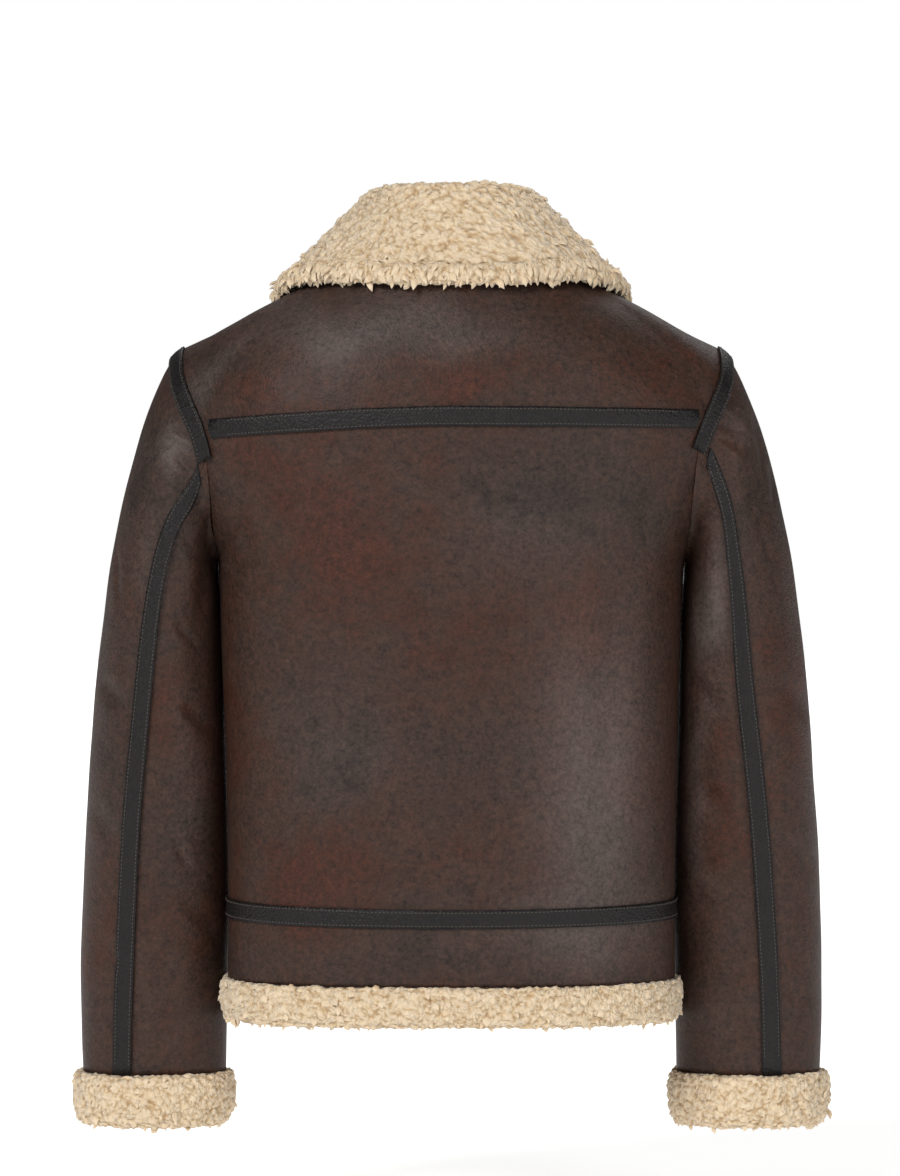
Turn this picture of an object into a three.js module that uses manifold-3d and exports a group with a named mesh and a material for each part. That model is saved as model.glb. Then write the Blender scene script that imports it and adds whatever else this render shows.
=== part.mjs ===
// An aviator jacket in sheepskin, filled out as it is worn, with open neck, hem and cuffs.
// Millimetres. x runs to the wearer's right, y to the wearer's front and z up.
// The origin lies between the shoulders, at the height of the top of the shoulder.
import * as THREE from 'three';
import { mergeVertices } from 'three/addons/utils/BufferGeometryUtils.js';
import Module from 'manifold-3d';

const { lerp, clamp, smoothstep, degToRad } = THREE.MathUtils;

// Driving sizes
const skin = 6;                 // the skin with its clipped wool
const seamGap = 0.3;            // between two pieces at a seam
const armholeGap = 0.55;
const tapeWidth = 17;
const tapeLift = 0.5;
const tapeThickness = 1.6;
const tapeEase = 0.9;           // how far the armhole tape's edge stands off the body's curve
const hemHeight = -588;         // where the leather ends and the turned wool begins
const waistSeam = -526;
const underarmHeight = -225;
const underarmCentre = -250;    // the same row of the body at its middle
const yokeCentre = -105;
const yokeEdge = { left: -115.5, right: -106.5 };
const shoulderTip = { x: 238.5, y: 4, z: -44 };
const armholeDepth = { back: 80, front: 76 };
const sideSeamTurn = 94;        // degrees round from the middle of the back
const roundness = 2.4;          // of the body's plan, where 2 is an ellipse
const neck = { halfWidth: 88, halfDepth: 89, y: 9 };
const collarThickness = 10;
const collarFold = 0.75;        // half the slot between stand and fall at the roll
const collarEnd = 165;          // degrees round from the middle of the back
const collarSeat = 0.6;         // how far the stand's foot lies below the edge of the neck seam
const frontEdge = 11.3;         // from the middle of the front to a front's edge
const zipTapeInner = 3.4;
const chainHalf = 3.1;

// The body by height: half its width, and its depth behind and before the side
const bodySections = [
  { z: -640, half: 194.5, back: 116, front: 122 },
  { z: -588, half: 194.5, back: 117, front: 123 },
  { z: -520, half: 194, back: 118, front: 126 },
  { z: -380, half: 196, back: 121, front: 132 },
  { z: -260, half: 200.5, back: 126, front: 139 },
  { z: -200, half: 204, back: 128, front: 141 },
  { z: -100, half: 212, back: 124, front: 131 },
];

// The armhole seam seen from behind
const armholeSeam = [
  { z: -225, x: 202.5 },
  { z: -180, x: 206 },
  { z: -140, x: 209.5 },
  { z: -122, x: 213 },
  { z: -104, x: 222 },
  { z: -79, x: 235 },
  { z: -60, x: 239 },
  { z: -44, x: 238.5 },
];

// The neck seam by degrees round from the middle of the back
const neckSeam = [
  { turn: 0, z: 30 },
  { turn: 45, z: 29.5 },
  { turn: 90, z: 26 },
  { turn: 120, z: 2 },
  { turn: 150, z: -33 },
  { turn: 180, z: -52 },
];

// The shoulders fan out from the neck. A ray of 0 is the middle of the back, 1 the yoke's corner,
// 2 the shoulder seam, 3 the corner of the front and 4 the front's edge. Out and rise say how far
// the skin has gone across and up at the middle of its bend.
const shoulderRays = [
  { ray: 0, turn: 0, out: 0.12, rise: 0.62 },
  { ray: 1, turn: 48, out: 0.1, rise: 0.62 },
  { ray: 1.5, turn: 72, out: 0.33, rise: 0.6 },
  { ray: 2, turn: 90, out: 0.5, rise: 0.5 },
  { ray: 2.5, turn: 106, out: 0.33, rise: 0.6 },
  { ray: 3, turn: 130, out: 0.12, rise: 0.62 },
  { ray: 4, turn: 172.6, out: 0.15, rise: 0.6 },
];

// A sleeve's rings by their outermost and innermost points, half depth and middle, with the
// angle of the taped back seam on the left and right sleeve
const sleeveRings = [
  { row: 0, outX: 238.5, outZ: -44, inX: 202.5, inZ: -225, depth: 78, y: 9, left: 93.2, right: 88.2 },
  { row: 1, outX: 249, outZ: -58, inX: 204.4, inZ: -229, depth: 79, y: 14, left: 100.4, right: 89 },
  { row: 2, outX: 260, outZ: -82, inX: 203.9, inZ: -237, depth: 81, y: 15, left: 100.4, right: 91.7 },
  { row: 3, outX: 272, outZ: -114, inX: 203.1, inZ: -250, depth: 83, y: 16, left: 94.5, right: 91.5 },
  { row: 4, outX: 283, outZ: -152, inX: 201.6, inZ: -268, depth: 84, y: 18, left: 88, right: 93.7 },
  { row: 5, outX: 293.5, outZ: -195, inX: 200.6, inZ: -292, depth: 84, y: 20, left: 83.5, right: 92.3 },
  { row: 6, outX: 303, outZ: -252, inX: 199.4, inZ: -330, depth: 82, y: 24, left: 82, right: 93.8 },
  { row: 7, outX: 310, outZ: -310, inX: 197.6, inZ: -376, depth: 79, y: 27, left: 78.3, right: 91 },
  { row: 8, outX: 316.5, outZ: -372, inX: 195.8, inZ: -428, depth: 75, y: 32, left: 77.2, right: 87 },
  { row: 9, outX: 321, outZ: -434, inX: 194, inZ: -485, depth: 70, y: 38, left: 73, right: 82.2 },
  { row: 10, outX: 325, outZ: -510, inX: 193, inZ: -540, depth: 64, y: 44, left: 70.8, right: 79.4 },
  { row: 11, outX: 327.5, outZ: -575, inX: 195.2, inZ: -575, depth: 58, y: 48, left: 70.5, right: 77.7 },
  { row: 12, outX: 327.5, outZ: -622, inX: 197.4, inZ: -610, depth: 54, y: 50, left: 69, right: 76.9 },
  { row: 13, outX: 325.5, outZ: -674.5, inX: 198.5, inZ: -674.5, depth: 51, y: 52, left: 66.8, right: 74.5 },
  { row: 14, outX: 324.5, outZ: -721, inX: 199.5, inZ: -721, depth: 50, y: 53, left: 66.8, right: 74.5 },
];
const sleeveEnd = 13;
const backSeamUp = 0.85;        // where the sleeve's seams meet the armhole, as a share of the
const frontSeamUp = 0.65;       // way from the underarm to the yoke

// The collar by degrees round: the height and reach of its roll, how far its edge lies from the
// neck seam, and how far the edge spreads towards the shoulder
const collarSections = [
  { turn: 0, top: 97.5, reach: 90, edge: 28, spread: 0 },
  { turn: 25, top: 97.3, reach: 88.5, edge: 36, spread: 0 },
  { turn: 45, top: 96.8, reach: 86.5, edge: 48, spread: 0 },
  { turn: 65, top: 95, reach: 84.5, edge: 61, spread: 0 },
  { turn: 90, top: 89, reach: 83, edge: 70, spread: 0 },
  { turn: 106, top: 78, reach: 84, edge: 72, spread: 0 },
  { turn: 130, top: 50, reach: 88, edge: 73, spread: 0 },
  { turn: 150, top: 24, reach: 92, edge: 73, spread: 0.08 },
  { turn: 165, top: 4, reach: 96, edge: 72, spread: 0.25 },
];

// Broad soft folds that stand on the back and the sleeves: where they run, and how far they rise
const bodyFolds = [
  { x: 170, top: -225, bottom: -545, width: 20, rise: 3.2 },
  { x: 108, top: -505, bottom: -610, width: 12, rise: -1.8 },
  { x: -192, top: -230, bottom: -380, width: 14, rise: 2.2 },
  { x: -135, top: -290, bottom: -420, width: 30, rise: -2 },
];
const sleeveFolds = [
  { angle: 60, row: 2.6, across: 34, along: 0.55, rise: 3.4 },
  { angle: 72, row: 4, across: 30, along: 0.5, rise: -2.6 },
  { angle: 118, row: 5.6, across: 26, along: 0.5, rise: -3.4 },
  { angle: 60, row: 8.8, across: 40, along: 0.7, rise: 2.6 },
  { angle: 112, row: 9.4, across: 22, along: 0.35, rise: -3.2 },
  { angle: 108, row: 11.3, across: 26, along: 0.4, rise: 2.4 },
  { angle: -40, row: 8.6, across: 46, along: 0.6, rise: -3 },
  { angle: -70, row: 9.6, across: 40, along: 0.5, rise: 2.6 },
  { angle: -150, row: 8.9, across: 30, along: 0.45, rise: -3 },
];

// A smooth curve through one column of a table
function curve(rows, key, value) {
  const slope = (p, q) => (q[value] - p[value]) / (q[key] - p[key]);
  return (at) => {
    let i = 0;
    while (i < rows.length - 2 && at > rows[i + 1][key]) i += 1;
    const a = rows[i];
    const b = rows[i + 1];
    const span = b[key] - a[key];
    const f = clamp((at - a[key]) / span, 0, 1);
    const before = i > 0 ? slope(rows[i - 1], b) : slope(a, b);
    const after = i + 2 < rows.length ? slope(a, rows[i + 2]) : slope(a, b);
    const f2 = f * f;
    const f3 = f2 * f;
    return (2 * f3 - 3 * f2 + 1) * a[value] + (f3 - 2 * f2 + f) * span * before
      + (3 * f2 - 2 * f3) * b[value] + (f3 - f2) * span * after;
  };
}

const halfWidth = curve(bodySections, 'z', 'half');
const backDepth = curve(bodySections, 'z', 'back');
const frontDepth = curve(bodySections, 'z', 'front');
const armholeX = curve(armholeSeam, 'z', 'x');
const neckHeight = curve(neckSeam, 'turn', 'z');
const rayTurn = curve(shoulderRays, 'ray', 'turn');
const rayOut = curve(shoulderRays, 'ray', 'out');
const rayRise = curve(shoulderRays, 'ray', 'rise');
const rayAtTurn = curve(shoulderRays, 'turn', 'ray');

const sideSign = { left: -1, right: 1 };
const armholeMiddle = (shoulderTip.z + underarmHeight) / 2;
const armholeHalf = (shoulderTip.z - underarmHeight) / 2;
const underarmY = halfWidth(underarmHeight) * Math.tan(degToRad(sideSeamTurn - 90));

// The armhole seam by its angle: 0 at the shoulder's tip, 180 under the arm, and the
// back half of it positive
function armholePoint(side, degrees) {
  const angle = degToRad(degrees);
  const drop = (1 - Math.cos(angle)) / 2;
  const depth = degrees > 0 ? armholeDepth.back : armholeDepth.front;
  const z = armholeMiddle + armholeHalf * Math.cos(angle);
  const y = lerp(shoulderTip.y, underarmY, drop) - depth * Math.sin(angle);
  return new THREE.Vector3(sideSign[side] * armholeX(z), y, z);
}

// The angle on the armhole where the yoke seam meets it
function yokeAngle(side) {
  return THREE.MathUtils.radToDeg(Math.acos((yokeEdge[side] - armholeMiddle) / armholeHalf));
}

function softBump(distance, width) {
  return Math.exp(-((distance / width) ** 2));
}

function foldOnBack(x, z) {
  let rise = 0;
  for (const fold of bodyFolds) {
    const length = (fold.top - fold.bottom) / 2;
    const middle = (fold.top + fold.bottom) / 2;
    rise += fold.rise * softBump(x - fold.x, fold.width) * softBump(z - middle, length * 0.8);
  }
  return rise;
}

// The body below the yoke. Across runs from the middle, 0, to the side, 1. Up runs from the
// hem, 0, to the underarm, 1, and on to the yoke seam, 2.
function bodyPoint(side, face, across, up) {
  const armpit = up > 1;
  const centreZ = armpit ? lerp(underarmCentre, yokeCentre, up - 1) : lerp(hemHeight, underarmCentre, up);
  const back = backDepth(centreZ);
  const front = frontDepth(centreZ);
  let edgeZ = lerp(hemHeight, underarmHeight, up);
  let half = halfWidth(edgeZ);
  let edgeTurn = degToRad(sideSeamTurn);
  if (armpit) {
    const angle = lerp(180, yokeAngle(side), up - 1);
    const edge = armholePoint('right', face === 'back' ? angle : -angle);
    const share = Math.abs(edge.y) / (edge.y < 0 ? back : front);
    half = edge.x / (1 - share ** roundness) ** (1 / roundness);
    edgeTurn = Math.atan2(edge.x, -edge.y);
    edgeZ = edge.z;
  }
  const middleTurn = face === 'back' ? 0 : Math.PI - Math.asin(frontEdge / front);
  const turn = lerp(middleTurn, edgeTurn, across);
  const depth = Math.cos(turn) > 0 ? back : front;
  const spread = Math.abs(Math.sin(turn) / half) ** roundness
    + Math.abs(Math.cos(turn) / depth) ** roundness;
  const z = lerp(centreZ, edgeZ, across * across);
  let radius = spread ** (-1 / roundness);
  const x = sideSign[side] * radius * Math.sin(turn);
  if (face === 'back') radius += foldOnBack(x, z);
  return new THREE.Vector3(sideSign[side] * radius * Math.sin(turn), -radius * Math.cos(turn), z);
}

function neckPoint(side, turn) {
  const angle = degToRad(turn);
  const x = sideSign[side] * neck.halfWidth * Math.sin(angle);
  return new THREE.Vector3(x, neck.y - neck.halfDepth * Math.cos(angle), neckHeight(turn));
}

// The shoulders, yoke and upper fronts. Up runs from the foot of a ray, 0, to the neck, 1.
function shoulderPoint(side, ray, up) {
  let foot = armholePoint(side, yokeAngle(side) * (2 - ray));
  if (ray < 1) foot = bodyPoint(side, 'back', ray, 2);
  if (ray > 3) foot = bodyPoint(side, 'front', 4 - ray, 2);
  const top = neckPoint(side, rayTurn(ray));
  const bend = foot.clone().lerp(top, rayOut(ray));
  bend.z = lerp(foot.z, top.z, rayRise(ray));
  const down = 1 - up;
  return foot.multiplyScalar(down * down)
    .addScaledVector(bend, 2 * up * down)
    .addScaledVector(top, up * up);
}

// The outward direction of a surface at a point, away from a point inside it
function outward(surface, a, b, inside) {
  const step = 0.004;
  const alongA = surface(a + step, b).sub(surface(a - step, b));
  const alongB = surface(a, b + step).sub(surface(a, b - step));
  const direction = alongA.cross(alongB).normalize();
  return direction.dot(surface(a, b).sub(inside)) < 0 ? direction.negate() : direction;
}

const bodyHeart = new THREE.Vector3(0, 5, -160);

// The line in which body and sleeve share their edge, at an angle on the armhole
function armholeMitre(side, degrees) {
  const angle = degToRad(degrees);
  const lean = 0.37 + 0.6 * Math.cos(angle) ** 2;
  return new THREE.Vector3(sideSign[side] * lean, -Math.sin(angle), Math.cos(angle)).normalize();
}

// How far an armhole point keeps its own direction, because the walls lie apart under the arm
function underarmShare(degrees) {
  return smoothstep(-Math.cos(degToRad(degrees)), 0.3, 0.95);
}

function towards(direction, target, share) {
  return direction.lerp(target, share).normalize();
}

function bodyDirection(side, face, across, up) {
  const inside = new THREE.Vector3(0, 5, bodyPoint(side, face, across, up).z);
  const direction = outward((a, b) => bodyPoint(side, face, a, b), across, up, inside);
  if (up > 1.8) {
    const ray = face === 'back' ? across : 4 - across;
    const above = outward((a, b) => shoulderPoint(side, a, b), ray, 0.01, bodyHeart);
    towards(direction, above, 0.5 * smoothstep(up, 1.8, 2));
  }
  if (up > 1) {
    const angle = lerp(180, yokeAngle(side), up - 1) * (face === 'back' ? 1 : -1);
    const share = smoothstep(across, 0.75, 1) * (1 - underarmShare(angle));
    towards(direction, armholeMitre(side, angle), share);
  }
  return direction;
}

function shoulderDirection(side, ray, up) {
  const direction = outward((a, b) => shoulderPoint(side, a, b), ray, Math.max(up, 0.01), bodyHeart);
  const low = 1 - smoothstep(up, 0, 0.3);
  if (ray < 1 || ray > 3) {
    const face = ray < 1 ? 'back' : 'front';
    const across = ray < 1 ? ray : 4 - ray;
    towards(direction, bodyDirection(side, face, across, 2), low);
    return direction;
  }
  return towards(direction, armholeMitre(side, yokeAngle(side) * (2 - ray)), low);
}

function bodyAt(side, face, across, up, lift) {
  return bodyPoint(side, face, across, up).addScaledVector(bodyDirection(side, face, across, up), lift);
}

function shoulderAt(side, ray, up, lift) {
  return shoulderPoint(side, ray, up).addScaledVector(shoulderDirection(side, ray, up), lift);
}

const ring = {};
for (const column of ['outX', 'outZ', 'inX', 'inZ', 'depth', 'y', 'left', 'right']) {
  ring[column] = curve(sleeveRings, 'row', column);
}

function ringPoint(side, angle, row) {
  const swing = Math.cos(angle);
  const x = lerp(ring.inX(row), ring.outX(row), (1 + swing) / 2);
  const z = lerp(ring.inZ(row), ring.outZ(row), (1 + swing) / 2);
  return new THREE.Vector3(sideSign[side] * x, ring.y(row) - ring.depth(row) * Math.sin(angle), z);
}

// How far an angle lies from another, going the short way round
function angleBetween(a, b) {
  return Math.abs(((a - b + 540) % 360) - 180);
}

// A sleeve by its angle, 0 outermost, 90 behind and 180 innermost, and its row from the armhole
function sleevePoint(side, degrees, row) {
  const angle = degToRad(degrees);
  const point = ringPoint(side, angle, row);
  const turned = degrees > 180 ? degrees - 360 : degrees;
  const drawn = Math.max(0, 1 - Math.max(row, 0) / 3.5) ** 2;
  const seam = armholePoint(side, turned).sub(ringPoint(side, angle, 0));
  point.addScaledVector(seam, drawn);
  let rise = 0;
  for (const fold of sleeveFolds) {
    const round = angleBetween(degrees, fold.angle);
    rise += fold.rise * softBump(round, fold.across) * softBump(row - fold.row, fold.along);
  }
  const away = new THREE.Vector3(sideSign[side] * Math.cos(angle), -Math.sin(angle), 0);
  const fromBody = smoothstep(-Math.cos(angle), 0.75, 0.95);
  return point.addScaledVector(away, rise * (1 - fromBody) * smoothstep(row, 0.5, 2));
}

function sleeveDirection(side, degrees, row) {
  const middle = ringPoint(side, 0, row).add(ringPoint(side, Math.PI, row)).multiplyScalar(0.5);
  const surface = (a, b) => sleevePoint(side, a * 50, b);
  const direction = outward(surface, degrees / 50, Math.max(row, 0.01), middle);
  const turned = degrees > 180 ? degrees - 360 : degrees;
  const share = (1 - smoothstep(row, 0, 1.2)) * (1 - underarmShare(turned));
  return towards(direction, armholeMitre(side, turned), share);
}

function sleeveAt(side, degrees, row, lift) {
  return sleevePoint(side, degrees, row).addScaledVector(sleeveDirection(side, degrees, row), lift);
}

// How far up its ray the shoulder lies at a distance from the neck seam
function upAtDistance(side, ray, distance) {
  const seam = shoulderPoint(side, ray, 1);
  let low = 0;
  let high = 1;
  for (let i = 0; i < 16; i += 1) {
    const middle = (low + high) / 2;
    if (shoulderPoint(side, ray, middle).distanceTo(seam) > distance) low = middle;
    else high = middle;
  }
  return (low + high) / 2;
}

const roll = {};
for (const column of ['top', 'reach', 'edge', 'spread']) {
  roll[column] = curve(collarSections, 'turn', column);
}
const rollRadius = collarThickness / 2 + collarFold;
const standEnd = 0.35;
const fallStart = 0.5;
const edgeBandStart = 0.9;

// The collar through the middle of its thickness. Path runs from the neck seam up the stand,
// over the roll and down the fall to the edge at 1.
function collarPoint(signedTurn, path) {
  const side = signedTurn < 0 ? 'left' : 'right';
  const turn = Math.abs(signedTurn);
  const angle = degToRad(turn);
  const out = new THREE.Vector3(sideSign[side] * Math.sin(angle), -Math.cos(angle), 0);
  const seat = neckPoint(side, turn);
  const rollZ = roll.top(turn) - rollRadius - collarThickness / 2;
  const fallReach = roll.reach(turn) - collarThickness / 2;
  const standReach = fallReach - 2 * rollRadius;
  const place = (reach, z) => new THREE.Vector3(reach * out.x, neck.y + reach * out.y, z);
  if (path < standEnd) {
    const share = path / standEnd;
    const foot = neck.halfWidth - collarThickness / 2 - seamGap;
    return place(lerp(foot, standReach, share), lerp(seat.z - collarSeat, rollZ, share));
  }
  if (path < fallStart) {
    const over = ((path - standEnd) / (fallStart - standEnd)) * Math.PI;
    return place(standReach + rollRadius * (1 - Math.cos(over)), rollZ + rollRadius * Math.sin(over));
  }
  const share = (path - fallStart) / (1 - fallStart);
  const ray = rayAtTurn(turn);
  const rest = collarThickness / 2 + 0.8;
  const start = shoulderAt(side, ray, 1, rest);
  const offset = place(fallReach, rollZ).sub(start);
  const reached = ray - roll.spread(turn) * share;
  const edgeUp = upAtDistance(side, reached, roll.edge(turn));
  return shoulderAt(side, reached, lerp(1, edgeUp, share), rest).addScaledVector(offset, 1 - share);
}

function collarAt(signedTurn, path, lift) {
  const step = 0.006;
  const turnStep = 1.5;
  const around = collarPoint(signedTurn + turnStep, path).sub(collarPoint(signedTurn - turnStep, path));
  const low = clamp(path - step, 0, 1);
  const along = collarPoint(signedTurn, Math.min(path + step, 1)).sub(collarPoint(signedTurn, low));
  const direction = along.cross(around).normalize();
  return collarPoint(signedTurn, path).addScaledVector(direction, lift);
}

// Evenly spaced values
function steps(from, to, count) {
  return Array.from({ length: count + 1 }, (_, i) => lerp(from, to, i / count));
}

// A net of points over a surface, as an outer and an inner layer, with each edge that lies
// on a seam drawn back by half of the seam's gap
function net(surface, across, up, lifts, seams = {}) {
  const liftOf = (lift, j) => (Array.isArray(lift) ? lift[j] : lift);
  const layer = (lift) => up.map((b, j) => across.map((a) => surface(a, b, liftOf(lift, j))));
  const outer = layer(lifts.outer);
  const inner = layer(lifts.inner);
  const drawBack = (j, i, nextJ, nextI, gap) => {
    const shift = outer[nextJ][nextI].clone().sub(outer[j][i]).setLength(gap);
    outer[j][i].add(shift);
    inner[j][i].add(shift);
  };
  const lastJ = up.length - 1;
  const lastI = across.length - 1;
  for (let i = 0; i <= lastI; i += 1) {
    if (seams.bottom) drawBack(0, i, 1, i, seams.bottom);
    if (seams.top) drawBack(lastJ, i, lastJ - 1, i, seams.top);
  }
  for (let j = 0; j <= lastJ; j += 1) {
    if (seams.start) drawBack(j, 0, j, 1, seams.start);
    if (seams.end) drawBack(j, lastI, j, lastI - 1, seams.end);
  }
  return { outer, inner };
}

const seamOrder = new THREE.Vector3(1, 1.7, 2.3);

// One closed wall from nets that share points along their common edges
function wall(nets) {
  const index = new Map();
  const outer = [];
  const inner = [];
  const vertex = (point, partner) => {
    const key = point.toArray().map((value) => Math.round(value * 500)).join();
    if (!index.has(key)) {
      index.set(key, outer.length);
      outer.push(point);
      inner.push(partner);
    }
    return index.get(key);
  };
  const faces = [];
  for (const { outer: front, inner: back } of nets) {
    for (let j = 0; j < front.length - 1; j += 1) {
      for (let i = 0; i < front[0].length - 1; i += 1) {
        const a = vertex(front[j][i], back[j][i]);
        const b = vertex(front[j][i + 1], back[j][i + 1]);
        const c = vertex(front[j + 1][i + 1], back[j + 1][i + 1]);
        const d = vertex(front[j + 1][i], back[j + 1][i]);
        if (new Set([a, b, c]).size === 3) faces.push([a, b, c]);
        if (new Set([a, c, d]).size === 3) faces.push([a, c, d]);
      }
    }
  }
  const sample = faces[Math.floor(faces.length / 2)];
  const [p, q, r] = sample.map((i) => outer[i]);
  const facing = q.clone().sub(p).cross(r.clone().sub(p));
  const turned = facing.dot(outer[sample[0]].clone().sub(inner[sample[0]])) < 0;
  if (turned) faces.forEach((face) => face.reverse());
  const count = outer.length;
  const edges = new Set(faces.flatMap(([a, b, c]) => [`${a},${b}`, `${b},${c}`, `${c},${a}`]));
  const closed = [];
  for (const [a, b, c] of faces) {
    closed.push(a, b, c, c + count, b + count, a + count);
    for (const [from, to] of [[a, b], [b, c], [c, a]]) {
      if (edges.has(`${to},${from}`)) continue;
      // Two walls that meet split the faces of their seam along the same diagonal
      if (outer[from].dot(seamOrder) < outer[to].dot(seamOrder)) {
        closed.push(to, from, from + count, to, from + count, to + count);
      } else {
        closed.push(to, from, to + count, from, from + count, to + count);
      }
    }
  }
  const geometry = new THREE.BufferGeometry();
  const positions = [...outer, ...inner].flatMap((point) => point.toArray());
  geometry.setAttribute('position', new THREE.Float32BufferAttribute(positions, 3));
  geometry.setIndex(closed);
  geometry.computeVertexNormals();
  return geometry;
}

const finishes = {
  leather: new THREE.MeshStandardMaterial({ color: 0x3f2a22, roughness: 0.5, metalness: 0 }),
  tape: new THREE.MeshStandardMaterial({ color: 0x242221, roughness: 0.45, metalness: 0 }),
  fleece: new THREE.MeshStandardMaterial({ color: 0xe3cba4, roughness: 0.95, metalness: 0 }),
  zipCloth: new THREE.MeshStandardMaterial({ color: 0x1b1a19, roughness: 0.8, metalness: 0 }),
  metal: new THREE.MeshStandardMaterial({ color: 0x8a7a5c, roughness: 0.35, metalness: 0.9 }),
};

const jacket = new THREE.Group();

function piece(name, geometry, finish) {
  const mesh = new THREE.Mesh(geometry, finishes[finish].clone());
  mesh.name = name;
  jacket.add(mesh);
  return mesh;
}

const half = seamGap / 2;
const skinWall = { outer: 0, inner: -skin };
const tapeWall = { outer: tapeLift + tapeThickness, inner: tapeLift };
const sides = ['left', 'right'];
const waistUp = (waistSeam - hemHeight) / (underarmHeight - hemHeight);
const armholeUps = [1.1, 1.25, 1.45, 1 + frontSeamUp, 1 + backSeamUp, 2];
const lowerRows = [...steps(waistUp, 1, 6), ...armholeUps];

// The back runs across both sides, from the left edge, -1, to the right edge, 1
function backAt(across, up, lift) {
  return bodyAt(across < 0 ? 'left' : 'right', 'back', Math.abs(across), up, lift);
}
const tapeReach = 0.965;        // where the armhole tape's edge runs, from the middle to the side
const halfColumns = [0, 0.12, 0.24, 0.36, 0.48, 0.6, 0.72, 0.85, tapeReach, 1];
const backColumns = [...halfColumns.slice(1).reverse().map((across) => -across), ...halfColumns];

function addBack() {
  const seams = { start: half, end: half, bottom: half, top: half };
  piece('back_panel', wall([net(backAt, backColumns, lowerRows, skinWall, seams)]), 'leather');
  const bandRows = steps(0, waistUp, 2);
  piece('back_waistband', wall([net(backAt, backColumns, bandRows, skinWall, seams)]), 'leather');
}

// The yoke fans from the left shoulder seam, -2, over the back to the right one, 2
function yokeAt(ray, up, lift) {
  return shoulderAt(ray < 0 ? 'left' : 'right', Math.abs(ray), up, lift);
}
const armholeRays = [1, 1.22, 1.45, 1.72, 2];
const yokeColumns = [
  ...armholeRays.slice(1).reverse().map((ray) => -ray), ...backColumns, ...armholeRays.slice(1),
];
const shoulderRows = [0, 0.055, 0.18, 0.36, 0.56, 0.78, 1];

function addYoke() {
  const seams = { start: half, end: half, bottom: half };
  piece('back_yoke', wall([net(yokeAt, yokeColumns, shoulderRows, skinWall, seams)]), 'leather');
}

const frontColumns = [1, tapeReach, 0.85, 0.72, 0.58, 0.44, 0.3, 0.15, 0];

// A front is a lower net to the level of the yoke and a fan above it, in one wall
function addFront(side) {
  const lower = (across, up, lift) => bodyAt(side, 'front', across, up, lift);
  const upper = (ray, up, lift) => shoulderAt(side, ray, up, lift);
  const lowerNet = net(lower, frontColumns, lowerRows, skinWall, { start: half, bottom: half });
  const shoulderRayColumns = armholeRays.map((ray) => 4 - ray).reverse();
  const fanNet = net(upper, shoulderRayColumns, shoulderRows, skinWall, { start: half });
  const frontNet = net(upper, frontColumns.map((across) => 4 - across), shoulderRows, skinWall);
  piece(`front_${side}`, wall([lowerNet, fanNet, frontNet]), 'leather');
  const bandRows = steps(0, waistUp, 2);
  const bandNet = net(lower, frontColumns, bandRows, skinWall, { start: half, top: half });
  piece(`front_waistband_${side}`, wall([bandNet]), 'leather');
}

// The wool at the hem stands proud of the leather and is round at its lower edge
const hemRows = [
  { z: -588.3, outer: 4.6, inner: -6 },
  { z: -593, outer: 6.6, inner: -7.5 },
  { z: -606, outer: 7.2, inner: -7.5 },
  { z: -617, outer: 6, inner: -7 },
  { z: -623, outer: 3, inner: -5 },
  { z: -625, outer: -0.5, inner: -2.5 },
];

const woolColumns = [...frontColumns, -0.058];

function addHemWool() {
  const rows = hemRows.map((row) => (row.z - hemHeight) / (underarmHeight - hemHeight));
  const lifts = { outer: hemRows.map((row) => row.outer), inner: hemRows.map((row) => row.inner) };
  const backNet = net(backAt, backColumns, rows, lifts, { start: half, end: half });
  piece('hem_wool_back', wall([backNet]), 'fleece');
  for (const side of sides) {
    const front = (across, up, lift) => bodyAt(side, 'front', across, up, lift);
    const frontNet = net(front, woolColumns, rows, lifts, { start: half });
    piece(`hem_wool_${side}`, wall([frontNet]), 'fleece');
  }
}

// The angles at which the edge of body and yoke has its points, so that the sleeve's edge has
// them too
function armholeAngles(side) {
  const yoke = yokeAngle(side);
  const low = armholeUps.slice(0, -1).map((up) => lerp(180, yoke, up - 1));
  const high = armholeRays.map((ray) => yoke * (2 - ray));
  const behind = [180, ...low, ...high];
  return [...behind, ...behind.slice(1, -1).map((angle) => -angle).reverse()];
}

// The shares of the way from one angle to another that the armhole's points take
function armholeShares(side, from, to) {
  const apart = 2;
  const shares = armholeAngles(side)
    .flatMap((angle) => [angle, angle + 360])
    .filter((angle) => angle > Math.min(from, to) + apart && angle < Math.max(from, to) - apart)
    .map((angle) => (angle - from) / (to - from))
    .sort((a, b) => a - b);
  return [0, ...shares, 1];
}

// Each sleeve is an outer and an under piece, sewn at the taped back seam and a plain front seam
const sleeveRows = [0, 0.5, 1.1, 1.9, 2.7, 3.5, 4.4, 5.4, 6.5, 7.6, 8.6, 9.5, 10.4, 11.4, 12.3, sleeveEnd];

function addSleeve(side) {
  const at = (degrees, row, lift) => sleeveAt(side, degrees, row, lift);
  const frontSeam = -lerp(180, yokeAngle(side), frontSeamUp);
  const outerAt = (share, row, lift) => at(lerp(ring[side](row), frontSeam, share), row, lift);
  const underAt = (share, row, lift) => at(lerp(ring[side](row), frontSeam + 360, share), row, lift);
  const seams = { start: half, end: half, bottom: armholeGap };
  const backSeam = ring[side](0);
  const outerShares = armholeShares(side, backSeam, frontSeam);
  const underShares = armholeShares(side, backSeam, frontSeam + 360);
  const outerNet = net(outerAt, outerShares, sleeveRows, skinWall, seams);
  const underNet = net(underAt, underShares, sleeveRows, skinWall, seams);
  piece(`sleeve_outer_${side}`, wall([outerNet]), 'leather');
  piece(`sleeve_under_${side}`, wall([underNet]), 'leather');
}

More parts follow.
